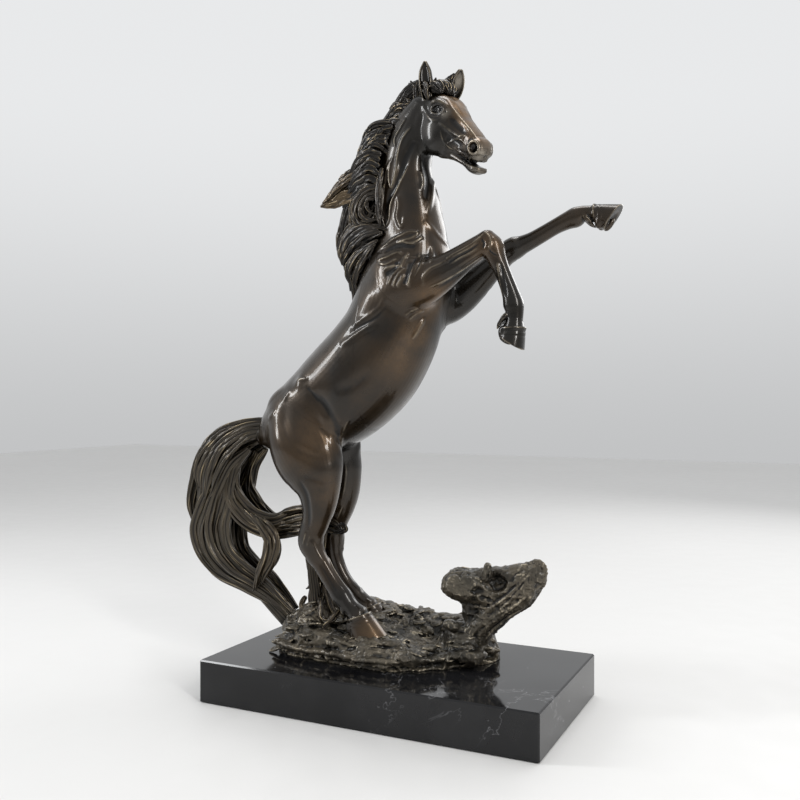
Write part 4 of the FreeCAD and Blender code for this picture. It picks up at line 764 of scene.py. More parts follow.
def build_head(V, fine=True):
    got = V.mesh_field(*skull_tube(), 9)
    if got:
        V.union(got[0], got[1], 6)
        remember(V, "skull", (got[0], np.maximum(got[1], -8)), 8)
    rows = [[*H(x, 0, z), w, b1, b2] for x, z, w, b1, b2 in JAW]
    V.add_mesh(tube(rows, side=HEADF[1], n=40, step=1.2, power=2.4, cap1=0.7), 1.3)
    A = HEADF
    E = lambda c, r, k=2.0, cut=False, ax=A: V.ell(H(*c), r, k, ax, cut)
    for s in (-1, 1):
        E((27, s * 9.5, -21), (17, 8.2, 16.5), 5)
        E((22, s * 6.8, 4.0), (11, 5.2, 5.8), 4)
        E((77.6, s * 4.8, -10.0), (6.6, 4.8, 7.0), 3)
        E((19, s * 11.6, 4.0), (7.5, 4.8, 4.4), 3.5)
    E((82, 0, -26.4), (6.0, 5.6, 2.8), 2.5)
    E((82.2, 0, -15.4), (4.6, 7.6, 3.9), 2.0)
    for path, o in EARS:
        rows, side = ear_meshes(path, o)
        V.add_mesh(tube(rows, side=side, n=36, step=1.0, cap1=0.8), 1.6)
    if not fine:
        return
    S = lambda pts, w, a, ends=0.25: stroke(V, [H(*p) for p in pts], w, a, ends)
    for path, o in EARS:
        rows, side = ear_meshes(path[1:], o, 1.7, 3.0)
        V.cut_mesh(tube(rows, side=side, n=36, step=1.0, cap0=0.9, cap1=0.5), 0.7)
    ca, sa = math.cos(math.radians(EYE_TILT)), math.sin(math.radians(EYE_TILT))
    EA = np.array([[ca, 0, sa], [0, 1.0, 0], [-sa, 0, ca]]) @ HEADF

    def eye(s, t, h, out=0.0):
        """A point of the eye's plane: t forward, h up from its middle."""
        x, z = EYE_AT[0] + t * ca - h * sa, EYE_AT[2] + t * sa + h * ca
        return (x, s * (EYE_AT[1] - 0.20 * t - 0.045 * h * h * (h > 0) * 0.5 + out), z)

    for s in (-1, 1):
        # temple hollow, brow, socket, eyeball and lids
        bump(V, H(13.5, s * 12.5, 7.0), 4.2, -1.6)
        S([eye(s, -10.5, 1.5), eye(s, -7.5, 4.6), eye(s, -3.0, 6.2, 0.5), eye(s, 1.5, 6.3, 0.6), eye(s, 6.0, 5.0), eye(s, 10, 2.0)], 1.7, 2.3 if s < 0 else 1.6)
        bump(V, H(*eye(s, 0, 0.2, 1.0)), 6.2, -2.4)
        V.ell(H(*eye(s, 0, 0.2, 0.6)), (7.4, 3.4, 3.4), 0.7, EA, True)
        V.ell(H(*eye(s, -0.2, -0.1, -5.6)), (5.6, 4.6, 4.5), 0.2, EA)
        S([eye(s, -7.6, -1.0, -0.8), eye(s, -5.2, 2.0, -0.2), eye(s, -0.8, 3.4, 0.3), eye(s, 4.0, 2.4, 0.2), eye(s, 7.6, -0.6, -0.6)], 0.95, 1.8, 0.15)
        S([eye(s, -7.6, -1.0, -0.8), eye(s, -4.4, -2.8, -0.6), eye(s, 0.4, -3.4, -0.5), eye(s, 4.8, -2.5, -0.5), eye(s, 7.6, -0.6, -0.6)], 0.8, 0.9, 0.15)
        S([eye(s, -7.4, -4.2, -0.4), eye(s, -1.6, -6.6, -0.3), eye(s, 5.4, -5.0, -0.5)], 0.9, 0.6)
        S([eye(s, 7.6, -0.8, -0.6), eye(s, 10.0, -2.6, -0.6)], 0.9, -0.6)
        S([eye(s, -6.4, 0.9, -0.9), eye(s, -0.6, 2.6, -0.6), eye(s, 6.2, 0.9, -0.9)], 0.7, -0.6, 0.2)
        # cheekbone, facial crest, nasal edge and the hollow between
        S([(35, s * 14.3, -6.5), (26, s * 16.5, -9.6), (15, s * 15.8, -8.5), (7, s * 14.0, -5.5)], 2.2, 1.1)
        S([(34, s * 14.0, -8.0), (44, s * 12.4, -9.0), (55, s * 10.3, -9.0), (65, s * 9.0, -8.0)], 2.0, 1.4)
        S([(33, s * 9.4, 7.4), (44, s * 7.8, 4.6), (55, s * 6.7, 1.9), (66, s * 6.1, -0.3), (77, s * 6.4, -2.4)], 1.5, 1.0)
        S([(40, s * 11.8, -1.0), (52, s * 9.2, -2.8), (64, s * 8.2, -4.0)], 3.0, -1.7)
        S([(46, s * 11.6, -15.5), (56, s * 9.4, -15.5), (66, s * 8.2, -15.0)], 3.2, -1.1)
        # jowl rim and mandible
        S([(8, s * 12.6, -10), (8.5, s * 12.6, -22), (14, s * 12.6, -32), (26, s * 11.5, -38), (38, s * 9.5, -38.5)], 3.2, 0.8)
        S([(16, s * 15.6, -13), (18, s * 15.8, -23), (24, s * 15.2, -31), (33, s * 13, -35)], 3.4, -0.3)
        S([(36, s * 9.0, -38), (47, s * 7.5, -35.0), (58, s * 6.6, -31.0), (70, s * 5.6, -29.0)], 1.6, 0.9)
        # veins and creases of the face
        S([(39, s * 14.2, -13), (45, s * 12.6, -19), (52, s * 10.5, -22), (60, s * 8.6, -21)], 0.8, 0.6)
        S([(49, s * 11.4, -20.5), (55, s * 10.0, -13.5), (63, s * 9.2, -11.0), (69, s * 8.8, -11.5)], 0.75, 0.6)
        S([(56, s * 9.8, -13.6), (62, s * 8.6, -6.6), (68, s * 8.0, -4.8)], 0.7, 0.5)
        S([(60, s * 9.0, -18.6), (67, s * 8.6, -19.0), (73, s * 8.6, -17.4)], 0.8, -0.5)
        # nostril and its rim
        V.ell(H(79.8, s * 10.2, -9.2), (5.2, 5.2, 4.6), 0.8, HEADF, True)
        V.ell(H(80.8, s * 7.0, -9.8), (3.6, 4.8, 3.6), 0.8, HEADF, True)
        S([(73.8, s * 9.0, -10.8), (74.2, s * 9.2, -6.6), (77.6, s * 9.0, -3.9), (82.4, s * 8.6, -4.3), (85.4, s * 8.2, -7.6), (85.0, s * 8.4, -11.8), (81.6, s * 9.2, -14.2), (77, s * 9.4, -13.8), (73.8, s * 9.0, -10.8)], 1.1, 1.4, 0.0)
        S([(71, s * 8.8, -10.5), (72.0, s * 8.6, -5.5), (76, s * 7.8, -1.9)], 1.2, -0.7)
        # lips and the corner of the mouth
        S([(89.6, s * 5.6, -17.6), (84.5, s * 8.0, -18.8), (79.0, s * 8.6, -20.6), (74.6, s * 8.4, -23.4)], 1.0, 0.9, 0.15)
        S([(91.0, s * 4.0, -21.4), (86, s * 6.4, -22.4), (80, s * 6.8, -23.4), (74.8, s * 7.6, -24.2)], 1.0, 0.9, 0.15)
        S([(75.5, s * 8.6, -18.8), (72.6, s * 8.6, -22.6), (73.6, s * 7.6, -27.0)], 1.1, 0.6)
    # palate and tongue
    E((79, 0, -23.2), (8, 4.0, 1.1), 0.5)
    S([(22, 0, -38), (36, 0, -38.5), (50, 0, -33), (62, 0, -30)], 3.0, -2.2)
    S([(86.0, 0, -5.6), (89.2, 0, -10.0), (90.2, 0, -15.5)], 0.9, -0.35)
    # forehead
    S([(18, -4, 11), (34, -3, 9.6), (48, -2, 6.0)], 2.2, 0.25)


def trunk_mesh():
    return tube(T["trunk"], n=72, power=2.13)


def leg_meshes(name):
    if name.startswith("fore"):
        return [tube(T[name], n=48, power=2.1), tube(T[name + "_lower"], n=40, power=2.1)]
    return [tube(T[name], n=48, power=2.1)]


def remember(V, key, got, top):
    """Keeps a part's own signed distance over the block, for the seams."""
    if not hasattr(V, "parts"):
        V.parts = {}
    D = V.parts.get(key)
    if D is None:
        D = V.parts[key] = np.full(V.n, top, np.float32)
    D[got[0]] = np.minimum(D[got[0]], got[1])


def build_trunk(V):
    got = V.mesh_field(*trunk_mesh(), 12)
    if got:
        V.union(got[0], got[1], 0)
        remember(V, "trunk", (got[0], np.maximum(got[1], -9.5)), 10)


def build_leg(V, name):
    ks = ((9, 12), (3.0, 9)) if name.startswith("fore") else ((5.5, 9),)
    for m, (k, pad) in zip(leg_meshes(name), ks):
        got = V.mesh_field(*m, pad)
        if got:
            V.union(got[0], got[1], k)
            remember(V, name, (got[0], np.maximum(got[1], -8)), 8)


MASSES = [
    # x, half spread y, z, radius, rise
    (2, 34, 384, 15, 2.2), (14, 33, 362, 15, 2.6), (26, 28, 398, 12, 1.6), (-14, 38, 352, 16, 1.2), (-40, 40, 318, 22, 1.0),
    (-84, 33, 283, 7, 2.0), (-104, 31, 262, 18, 1.2), (-93, 42, 226, 16, 1.8), (-128, 18, 240, 12, 1.2), (40, 11, 392, 11, 2.6),
    (44, 10, 408, 9, -1.0), (-58, 38, 262, 12, -2.4), (-24, 38, 372, 14, -0.8), (4, 30, 412, 12, -0.8),
]


def build_masses(V):
    for x, y, z, r, a in MASSES:
        for s in (-1, 1):
            bump(V, (x, s * y, z), r, a)


def hoof_mesh(h, grow=0.0):
    cf, cb, toe, heel = (np.array(h[k], float) for k in ("cf", "cb", "toe", "heel"))
    cc, sc = (cf + cb) / 2, (toe + heel) / 2
    u = np.array([0, 1.0, 0])
    v0, v1 = cf - cb, toe - heel
    st = [
        (cc, u, unit(v0), h["a0"], np.linalg.norm(v0) / 2, np.linalg.norm(v0) / 2),
        ((cc + sc) / 2, u, unit(v0 + v1), (h["a0"] + h["a1"]) / 2, np.linalg.norm(v0 + v1) / 4, np.linalg.norm(v0 + v1) / 4),
        (sc, u, unit(v1), h["a1"], np.linalg.norm(v1) / 2, np.linalg.norm(v1) / 2),
    ]
    return framed(st, n=48, power=2.2)


def build_hoof(V, h, front=True):
    V.add_mesh(hoof_mesh(h), 0.8)
    cf, cb, toe, heel = (np.array(h[k], float) for k in ("cf", "cb", "toe", "heel"))
    cc = (cf + cb) / 2
    u = np.array([0, 1.0, 0])
    v = unit(cf - cb)
    L = np.linalg.norm(cf - cb) / 2
    # coronet band
    ring = [cc + u * math.cos(q) * h["a0"] * 1.03 + v * math.sin(q) * L * 1.03 for q in np.linspace(0, 2 * np.pi, 13)]
    stroke(V, ring, 1.3, 0.45, 0.0)
    n = unit((toe + heel) / 2 - cc)
    ring2 = [p + n * 3.2 for p in ring]
    stroke(V, ring2, 0.9, -0.35, 0.0)
    ring3 = [p + n * 7.0 for p in ring]
    stroke(V, ring3, 0.8, -0.22, 0.0)
    # heel bulbs and the sole's hollow
    for s in (-1, 1):
        V.ell(cb * 0.5 + heel * 0.5 + u * s * 4.4 + v * 2.6, (3.6, 4.0, 5.0), 2.4)
    sc = toe * 0.42 + heel * 0.58
    V.ell(sc + n * 2.2, (8.5, 7.2, 4.2), 1.2, np.array([unit(toe - heel), u, unit(np.cross(unit(toe - heel), u))]), True)
    # tuft behind the fetlock
    bk = unit(cb - cf)
    dn = unit(unit((heel + toe) / 2 - cc) * 1.0 + bk * 0.25)
    feather(V, cb - bk * 2.0 - dn * 7.0, bk, dn, 5, int(abs(cb[0])))
    fr = unit(toe - heel)
    V.ell(sc - fr * 4.5 + n * 0.4, (6.0, 2.6, 2.6), 1.2, np.array([fr, u, unit(np.cross(fr, u))]))


def feather(V, at, out, down, n, seed):
    """A tuft of hair behind the fetlock."""
    rng = np.random.default_rng(seed)
    at, out, down = np.array(at, float), unit(out), unit(down)
    side = np.cross(out, down)
    for i in range(n):
        a = (i - (n - 1) / 2) / max(1, (n - 1) / 2)
        p0 = at + side * a * 5.0 - down * 5 + out * (1 - abs(a)) * 1.0
        L = 17 - 5 * abs(a) + rng.uniform(-1, 1)
        L *= 0.62
        p1 = p0 + out * (3.2 - 1.0 * abs(a)) + down * L * 0.42
        p2 = p0 + out * (5.0 - 1.8 * abs(a)) + down * L * 0.8
        p3 = p0 + out * (6.0 - 2 * abs(a) + rng.uniform(-1, 1)) + down * L * 1.15
        V.add_mesh(lock([p0, p1, p2, p3], [2.6, 3.0, 2.4, 0.7], [2.2, 2.4, 1.8, 0.6], side, ridges=4, seed=seed + i, amp=0.2, n=32, root=0.6), 0.9)


# ---------------------------------------------------------------- from volumes to Blender meshes
MATS = {}
LEGS = ("hindleg_right", "hindleg_left", "foreleg_right", "foreleg_left")


def make(name, pts, quads, tris, node, slot, mat, normals=None, attrs=None, smooth=True):
    """A Blender object from points in mm. It stands for the CAD node, or nodes, named."""
    me = bpy.data.meshes.new(name)
    pts = np.asarray(pts, float)
    quads = np.asarray(quads, np.int64).reshape(-1, 4)
    tris = np.asarray(tris, np.int64).reshape(-1, 3)
    nq, nt = len(quads), len(tris)
    me.vertices.add(len(pts))
    me.vertices.foreach_set("co", (pts * 0.001).astype(np.float32).ravel())
    loops = np.concatenate([quads.ravel(), tris.ravel()]).astype(np.int32)
    me.loops.add(len(loops))
    me.loops.foreach_set("vertex_index", loops)
    me.polygons.add(nq + nt)
    me.polygons.foreach_set("loop_start", np.concatenate([np.arange(nq) * 4, nq * 4 + np.arange(nt) * 3]).astype(np.int32))
    me.polygons.foreach_set("use_smooth", np.full(nq + nt, smooth, bool))
    me.update(calc_edges=True)
    for k, v in (attrs or {}).items():
        a = me.attributes.new(k, "FLOAT", "POINT")
        a.data.foreach_set("value", np.asarray(v, np.float32))
    if normals is not None:
        me.normals_split_custom_set_from_vertices(np.asarray(normals, np.float32).tolist())
    ob = bpy.data.objects.new(name, me)
    bpy.context.scene.collection.objects.link(ob)
    me.materials.append(MATS[mat])
    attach(ob, "root")
    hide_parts(*([node] if isinstance(node, str) else node))
    return ob


def values(V, D, p):
    """Trilinear values of the block D at points."""
    q = np.clip((p - V.lo) / V.h, 0.001, V.n - 1.002)
    i = q.astype(np.int64)
    f = (q - i).astype(np.float32)
    n1, n2 = int(V.n[1] * V.n[2]), int(V.n[2])
    flat = D.reshape(-1)
    b = i[:, 0] * n1 + i[:, 1] * n2 + i[:, 2]
    fx, fy, fz = f.T
    o = 0
    for dx in (0, 1):
        for dy in (0, 1):
            for dz in (0, 1):
                w = (fx if dx else 1 - fx) * (fy if dy else 1 - fy) * (fz if dz else 1 - fz)
                o = o + flat[b + dx * n1 + dy * n2 + dz] * w
    return o


def slopes(V, D, p, e):
    g = np.empty_like(p)
    for k in range(3):
        d = np.zeros(3)
        d[k] = e
        g[:, k] = values(V, D, p + d) - values(V, D, p - d)
    return g / np.maximum(np.linalg.norm(g, axis=1), 1e-9)[:, None]


def relief(V, D, p, r):
    """How much the surface stands proud (positive) or sinks (negative) within r mm."""
    s = 0
    dirs = [(1, 0, 0), (0, 1, 0), (0, 0, 1), (0.577, 0.577, 0.577), (-0.577, 0.577, 0.577), (0.577, -0.577, 0.577), (0.577, 0.577, -0.577)]
    for d in dirs:
        d = np.array(d) * r
        s = s + values(V, D, p + d) + values(V, D, p - d)
    return (s / (2 * len(dirs)) - values(V, D, p)) / r


def cast(name, V, node, mat, slot, keep=None, fine=1.1, broad=3.6, normal=0.8):
    """Meshes the part of the volume where keep is below zero, and hands it over as one closed piece."""
    full = V.d
    W = Vol.__new__(Vol)
    W.lo, W.h, W.n, W.far, W.ax = V.lo, V.h, V.n, V.far, V.ax
    W.d = full.copy() if keep is None else np.maximum(full, keep)
    p, q, t = W.mesh()
    q, t = drop_islands(len(p), q, t)
    used = np.zeros(len(p), bool)
    used[q.ravel()] = True
    used[t.ravel()] = True
    idx = np.cumsum(used) - 1
    p, q, t = p[used], idx[q], idx[t]
    # pull the vertices on the skin onto it
    for _ in range(2):
        d = values(V, full, p)
        g = slopes(V, full, p, V.h * 0.7)
        on = np.abs(d) < 0.55 * V.h
        inner = ((p > V.lo + 2.5 * V.h) & (p < V.lo + V.h * (V.n - 3.5))).all(1)
        step = np.where(on & inner, np.clip(d, -0.4 * V.h, 0.4 * V.h), 0) * 0.9
        p = p - step[:, None] * g
    nrm = slopes(V, full, p, max(V.h * normal, 0.3))
    fn = np.cross(p[q[:, 2]] - p[q[:, 0]], p[q[:, 3]] - p[q[:, 1]])
    if (fn * nrm[q[:, 0]]).sum() < 0:
        q, t = q[:, ::-1], t[:, ::-1]
    at = {"fine": relief(V, full, p, fine), "broad": relief(V, full, p, broad)}
    # vertex attributes: warm patina, painted highlights and painted shade on the body; painted shade on the ground and
    # broken trunk
    if mat == "body":
        at["warm"], at["painted_highlight"], at["painted_shade"] = patina_and_painted_light(p, WARM), patina_and_painted_light(p, PAINTED_HIGHLIGHT_SPOTS), patina_and_painted_light(p, PAINTED_SHADE_SPOTS)
    else:
        at["painted_shade"] = patina_and_painted_light(p, LOG_PAINTED_SHADE_SPOTS)
    ob = make(name, p, q, t, node, slot, mat, nrm, at)
    print(name, len(q) * 2 + len(t), "triangles", round(time.time() - T0, 1), "s", flush=True)
    return ob


# places where the wax has warmed, and the painted highlights and painted shade below: centre, reach and strength
WARM = [(H(x, 0, z), 8.5, 1.0) for x, z in ((20, 10), (32, 8.6), (44, 5.5), (56, 2.6), (68, 0.0), (78, -2.0))]
WARM += [((44, -26, 350), 17, 0.75), ((30, -30, 322), 15, 0.55), ((18, -36, 300), 18, 0.4), ((50, -20, 425), 15, 0.5), ((52, -14, 400), 12, 0.4), ((-70, -40, 232), 22, 0.25), ((-50, -34, 186), 16, 0.3), ((-44, -32, 140), 16, 0.4), ((-10, -28, 62), 14, 0.5), ((96, -30, 392), 14, 0.4)]
# painted highlights: a pale grey reflection on the front of the muzzle and chin, and highlights beside the near eye and
# on the far ear
PAINTED_HIGHLIGHT_SPOTS = [(H(86, y, -12), 7.0, 0.8) for y in (-4, 4)] + [(H(88.5, 0, -24), 5.5, 0.6), (H(35, -12.5, 1), 3.6, 0.5), (H(3, 15, 20), 6.5, 0.55)]


# painted shade: near black in the eye sockets, the mouth, the nostrils and the near ear's hollow
PAINTED_SHADE_SPOTS = [(H(25.6, y, -0.4), 6.2, 1.0) for y in (-15.5, 15.5)] + [(H(20, y, -2.0), 5.0, 0.7) for y in (-16, 16)] + [(H(75, 0, -22.5), 9.0, 0.9), (H(80.5, -6, -9.5), 4.2, 1.0), (H(80.5, 6, -9.5), 4.2, 1.0), (H(-4, -13, 9), 8, 0.5)]


# painted shade: near black in the hollow of the broken trunk, the gaps between its limbs and round its foot on the
# ground
LOG_PAINTED_SHADE_SPOTS = [((90, 2, 111), 9.5, 1.0), ((100, 0, 117), 6.0, 0.9), ((76, -1, 103), 5.0, 0.8), ((62, 8, 84), 11, 0.7), ((46, 6, 60), 9, 0.6), ((70, -12, 48), 10, 0.5)]


def patina_and_painted_light(p, marks):
    o = np.zeros(len(p))
    for c, r, a in marks:
        o = np.maximum(o, a * np.exp(-(((p - np.asarray(c)) ** 2).sum(1)) / (r * r) * 0.8))
    return o


def drop_islands(n, q, t):
    """Keeps only the faces of the largest connected shell."""
    lab = np.arange(n)
    e = np.concatenate([q[:, [0, 1]], q[:, [1, 2]], q[:, [2, 3]], t[:, [0, 1]] if len(t) else np.zeros((0, 2), np.int64), t[:, [1, 2]] if len(t) else np.zeros((0, 2), np.int64)])
    for _ in range(400):
        m = np.minimum(lab[e[:, 0]], lab[e[:, 1]])
        new = lab.copy()
        np.minimum.at(new, e[:, 0], m)
        np.minimum.at(new, e[:, 1], m)
        new = new[new]
        new = new[new]
        if (new == lab).all():
            break
        lab = new
    best = np.bincount(lab[q[:, 0]], minlength=n).argmax()
    return q[lab[q[:, 0]] == best], (t[lab[t[:, 0]] == best] if len(t) else t)


def sculpt(lo, hi, h, head=True):
    V = Vol(lo, hi, h)
    build_trunk(V)
    for n in LEGS:
        build_leg(V, n)
    build_masses(V)
    if head:
        build_head(V)
    for k in HOOF:
        build_hoof(V, HOOF[k])
    folds(V, FOLDS)
    return V


def seam_of(V, key):
    """Below zero on the part's side of the line where it meets the trunk or neck."""
    if key not in V.parts:
        return np.full(V.n, 8, np.float32)
    return V.parts[key] - V.parts["trunk"]


def leg_seam(V, name):
    return seam_of(V, name)


def head_seam(V):
    return seam_of(V, "skull")


def under(s):
    """For the piece that runs on under its neighbour: keeps 1.5 mm past the seam s = 0, sinking a little."""
    return np.clip(0.12 - s * 0.3, 0, 0.55).astype(np.float32), (-s - 1.5).astype(np.float32)


def grid(V):
    return V.ax[0][:, None, None], V.ax[1][None, :, None], V.ax[2][None, None, :]


def cast_under(name, V, node, mat, slot, seams, keep=None):
    full = V.d
    d = full
    k = keep
    for s in seams:
        tuck, lim = under(s)
        d = d + tuck
        k = lim if k is None else np.maximum(k, lim)
    W = Vol.__new__(Vol)
    W.lo, W.h, W.n, W.far, W.ax, W.d = V.lo, V.h, V.n, V.far, V.ax, d
    return cast(name, W, node, mat, slot, k)


def body_castings():
    B = ("body", "bronze_body")
    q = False
    f = 1.5 if q else 1.0
    # head
    V = sculpt((8, -62, 436), (113, 24, 567), 0.47 * f)
    cast("head", V, "head_casting", *B, keep=head_seam(V))
    # neck
    V = sculpt((-38, -44, 372), (76, 44, 552), 0.6 * f)
    X, Y, Z = grid(V)
    plane = ((X - 9) * 0.16 + (Z - 392) * 0.987).astype(np.float32)
    cast_under("neck", V, "neck_casting", *B, seams=[head_seam(V)], keep=(-plane + 0 * Y).astype(np.float32))
    # forelegs
    for n, lo, hi in (("foreleg_right", (-30, -57, 296), (137, 3, 432)), ("foreleg_left", (-10, -3, 320), (203, 57, 450))):
        V = sculpt(lo, hi, 0.55 * f, head=False)
        X, Y, Z = grid(V)
        side = (Y if n.endswith("right") else -Y) + 0 * X
        cast(n, V, n + "_casting", *B, keep=np.maximum(leg_seam(V, n), side))
    # hind legs
    for n, s in (("hindleg_right", 1), ("hindleg_left", -1)):
        lo, hi = (-152, -57, 48), (6, 3, 284)
        if s < 0:
            lo, hi = (-152, -3, 48), (6, 57, 284)
        V = sculpt(lo, hi, 0.62 * f, head=False)
        X, Y, Z = grid(V)
        cast(n, V, n + "_casting", *B, keep=np.maximum(leg_seam(V, n), s * Y + 0 * X))
    # trunk, in two lengths
    V = sculpt((-34, -54, 240), (66, 54, 404), 0.7 * f, head=False)
    X, Y, Z = grid(V)
    plane = ((X - 9) * 0.16 + (Z - 392) * 0.987 + 0 * Y).astype(np.float32)
    seam = np.minimum(np.minimum(leg_seam(V, "foreleg_right"), leg_seam(V, "foreleg_left")), np.float32(99))
    cast_under("trunk_front", V, "torso_casting", *B, seams=[seam, -plane], keep=(-24 - X + 0 * Y + 0 * Z).astype(np.float32))
    V = sculpt((-166, -54, 200), (-16, 54, 404), 0.9 * f, head=False)
    X, Y, Z = grid(V)
    seam = np.minimum(leg_seam(V, "hindleg_right"), leg_seam(V, "hindleg_left"))
    cast_under("trunk_rear", V, "torso_casting", *B, seams=[seam, (-X - 24 + 0 * Y + 0 * Z).astype(np.float32)])


# ---------------------------------------------------------------- hair
CORES = {
    "mane_casting": [
        [(24, 0, 536, 8, 6), (8, 1, 531, 9, 8), (-5, 1, 517, 10, 9), (-17, 1, 500, 11, 9), (-26, 0, 479, 11, 9), (-33, 0, 456, 11, 9), (-38, 0, 431, 11, 9), (-42, 0, 407, 10, 8), (-45, 0, 386, 8, 7), (-46, 0, 366, 4, 4)],
        [(30, -2, 534, 4, 4), (24, -3, 541, 6.5, 6.5), (15, -3, 539, 7.5, 7), (6, -2, 532, 7.5, 7), (-3, -1, 522, 6, 6)],
        [(-36, -1, 462, 7, 8), (-46, -2, 444, 7, 8), (-53, -2, 424, 7, 7), (-57, -2, 408, 4, 4)],
    ],
    "tail_casting": [
        [(-132, 0, 237, 7, 8), (-158, 0, 236, 8, 8.5), (-179, 1, 227, 11, 12), (-195, 2, 209, 13, 15), (-204, 3, 186, 14, 18), (-208, 3, 160, 13, 16), (-203, 3, 136, 11, 12.5), (-190, 3, 117, 9, 9.5), (-170, 3, 98, 7.5, 8), (-148, 3, 81, 7.5, 7), (-130, 2, 66, 7, 7), (-116, 1, 55, 7, 7)],
    ],
    "tail_lock_casting": [
        [(-196, 0, 184, 6, 7), (-180, -1, 164, 7, 8), (-160, -1, 149, 7, 8), (-138, 1, 143.5, 6.5, 8), (-116, 2, 147, 6.5, 8.5), (-96, 3, 151, 6, 8), (-80, 3, 146, 5, 6)],
        [(-98, 3, 147, 5, 5.5), (-93, 3, 128, 5, 5), (-92, 3, 106, 4.5, 5), (-88, 2, 84, 5.5, 6), (-84, 0, 64, 6, 7)],
    ],
}
FORELOCK = [
    ([(-7, y * 0.8, 4), (0, y, 12.4 - 0.05 * y * y), (6, y * 1.02, 15.0 - 0.035 * y * y), (11 + e, y * 0.95 + d, 13.8 - 0.03 * y * y), (14.5 + e, y * 0.9 + d * 2, 11.2 - 0.02 * y * y)], [4.2, 5.0, 5.0, 4.0, 0.9], 5)
    for y, d, e in ((-10, 1, -2), (-6.5, -1, 0.5), (-3, 1.5, -1), (0.5, -0.5, 1), (4, 1, -1.5), (7.5, -1, -2), (10.5, 0, -4))
]
FORELOCK += [
    ([(0, 4, 8), (1.5, 5.6, 14), (2.2, 6.6, 19.5), (2.4, 7.6, 26)], [5.6, 6.2, 4.6, 0.7], 5),
    ([(1, 8, 8), (3, 9.2, 14), (4, 9.8, 19.5)], [3.6, 3.4, 0.7], 4),
    ([(-2, -5, 8), (-1, -6, 13), (-1.5, -6.4, 18)], [3.4, 3.0, 0.6], 4),
    ([(-9, -11, 2), (-3, -13.5, 6), (3, -15.0, 6.5), (8, -15.6, 4.2), (11, -15.6, 0.6)], [3.0, 3.6, 3.4, 2.6, 0.6], 4),
    ([(-12, -9, 4), (-8, -12.4, 9), (-3, -14.6, 10.5), (3, -15.4, 9.0), (7, -15.6, 5.4)], [2.6, 3.2, 3.0, 2.2, 0.6], 4),
    ([(0, -2, 10), (5, -4, 15.5), (10, 1, 15.5), (13, 5, 13.6)], [3.6, 3.6, 2.8, 0.7], 4),
]
GOLD = {"flying": 1.0, "lower": 0.15, "tail_drop": 0.35, "tail_side": 0.3}
HAIR = {
    # piece: the node it stands for
    "crest": "mane_casting", "upper": "mane_casting", "flying": "mane_casting", "lower": "mane_casting", "forelock": "forelock_casting",
    "tail_upper": "tail_casting", "tail_lower": "tail_casting", "tail_side": "tail_lock_casting", "tail_drop": "tail_lock_casting",
}


def strands(parts, path, W, tf, ridges, seed, step, n, amp=0.5, twist=0.0, root=0.55):
    parts.append(lock(path, [w * tf for w in W], W, (0, 1, 0), ridges=ridges, seed=seed, amp=amp, n=n, step=step, twist=twist, root=root, heights=True))


def joined(parts):
    P, Q, TR, A = [], [], [], []
    o = 0
    for p, q, t, a in parts:
        P.append(p)
        Q.append(q + o)
        TR.append(t + o)
        A.append(a)
        o += len(p)
    return np.concatenate(P), np.concatenate(Q), np.concatenate(TR), np.concatenate(A)


def hair():
    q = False
    rng = np.random.default_rng(7)
    parts = {k: [] for k in HAIR}
    seed = 100
    for piece, A, B, n, W, tf, rid, mir in COMBS:
        A = np.array(A)
        Bm = np.array(B) if B else A
        mid = 2.0 if piece.startswith("tail") else -2.0
        for side in ((0, 1) if mir else (0,)):
            for i in range(n):
                f = i / max(1, n - 1) if n > 1 else 0.0
                path = A * (1 - f) + Bm * f
                k = len(path)
                t = np.linspace(0, 1, k)
                seed += 1
                r = np.random.default_rng(seed)
                wob = r.uniform(-1, 1, 3)
                if n > 1:
                    env = np.sin(np.pi * np.clip(t * 0.9 + 0.05, 0, 1))
                    path = path + env[:, None] * np.array([1.0, 1.9, 1.0]) * wob * (1.9 if piece.startswith("tail") else 1.4)
                    # ends stray past one another
                    d = path[-1] - path[-2]
                    path[-1] = path[-1] + d * r.uniform(-0.25, 0.35)
                if side:
                    path = path * np.array([1, -1, 1]) + np.array([0, 2 * mid, 0])
                sc = r.uniform(0.72, 1.22) if n > 1 else 1.0
                strands(parts[piece], path, [w * sc for w in W], tf, rid, seed, 1.6 if q else 0.85, 30 if q else 10 * rid + 8, twist=r.uniform(-60, 60) if n > 1 else 0)
    for path, W, rid in FORELOCK:
        seed += 1
        strands(parts["forelock"], [H(*c) for c in path], W, 0.8, rid, seed, 0.8, 10 * rid + 8)
    owner = {"mane_casting": "upper", "tail_casting": "tail_upper", "tail_lock_casting": "tail_side"}
    for node, cores in CORES.items():
        for c in cores:
            c = np.array(c)
            seed += 1
            lk = lock(c[:, :3], c[:, 3].tolist(), c[:, 4].tolist(), (0, 1, 0), ridges=13, seed=seed, amp=0.16, n=110, step=1.2, root=0.8, tip=0.4, heights=True)
            parts[owner[node]].append(lk[:3] + (lk[3] * 0.5,))
    for k, v in parts.items():
        p, qd, t, a = joined(v)
        ob = make(k if k != "crest" else "mane_crest", p, qd, t, HAIR[k], "bronze_hair", "hair", attrs={"ridge": a, "gold": np.full(len(p), GOLD.get(k, 0.0))})
        print(k, len(v), "locks", len(qd) * 2 + len(t), "triangles", round(time.time() - T0, 1), flush=True)


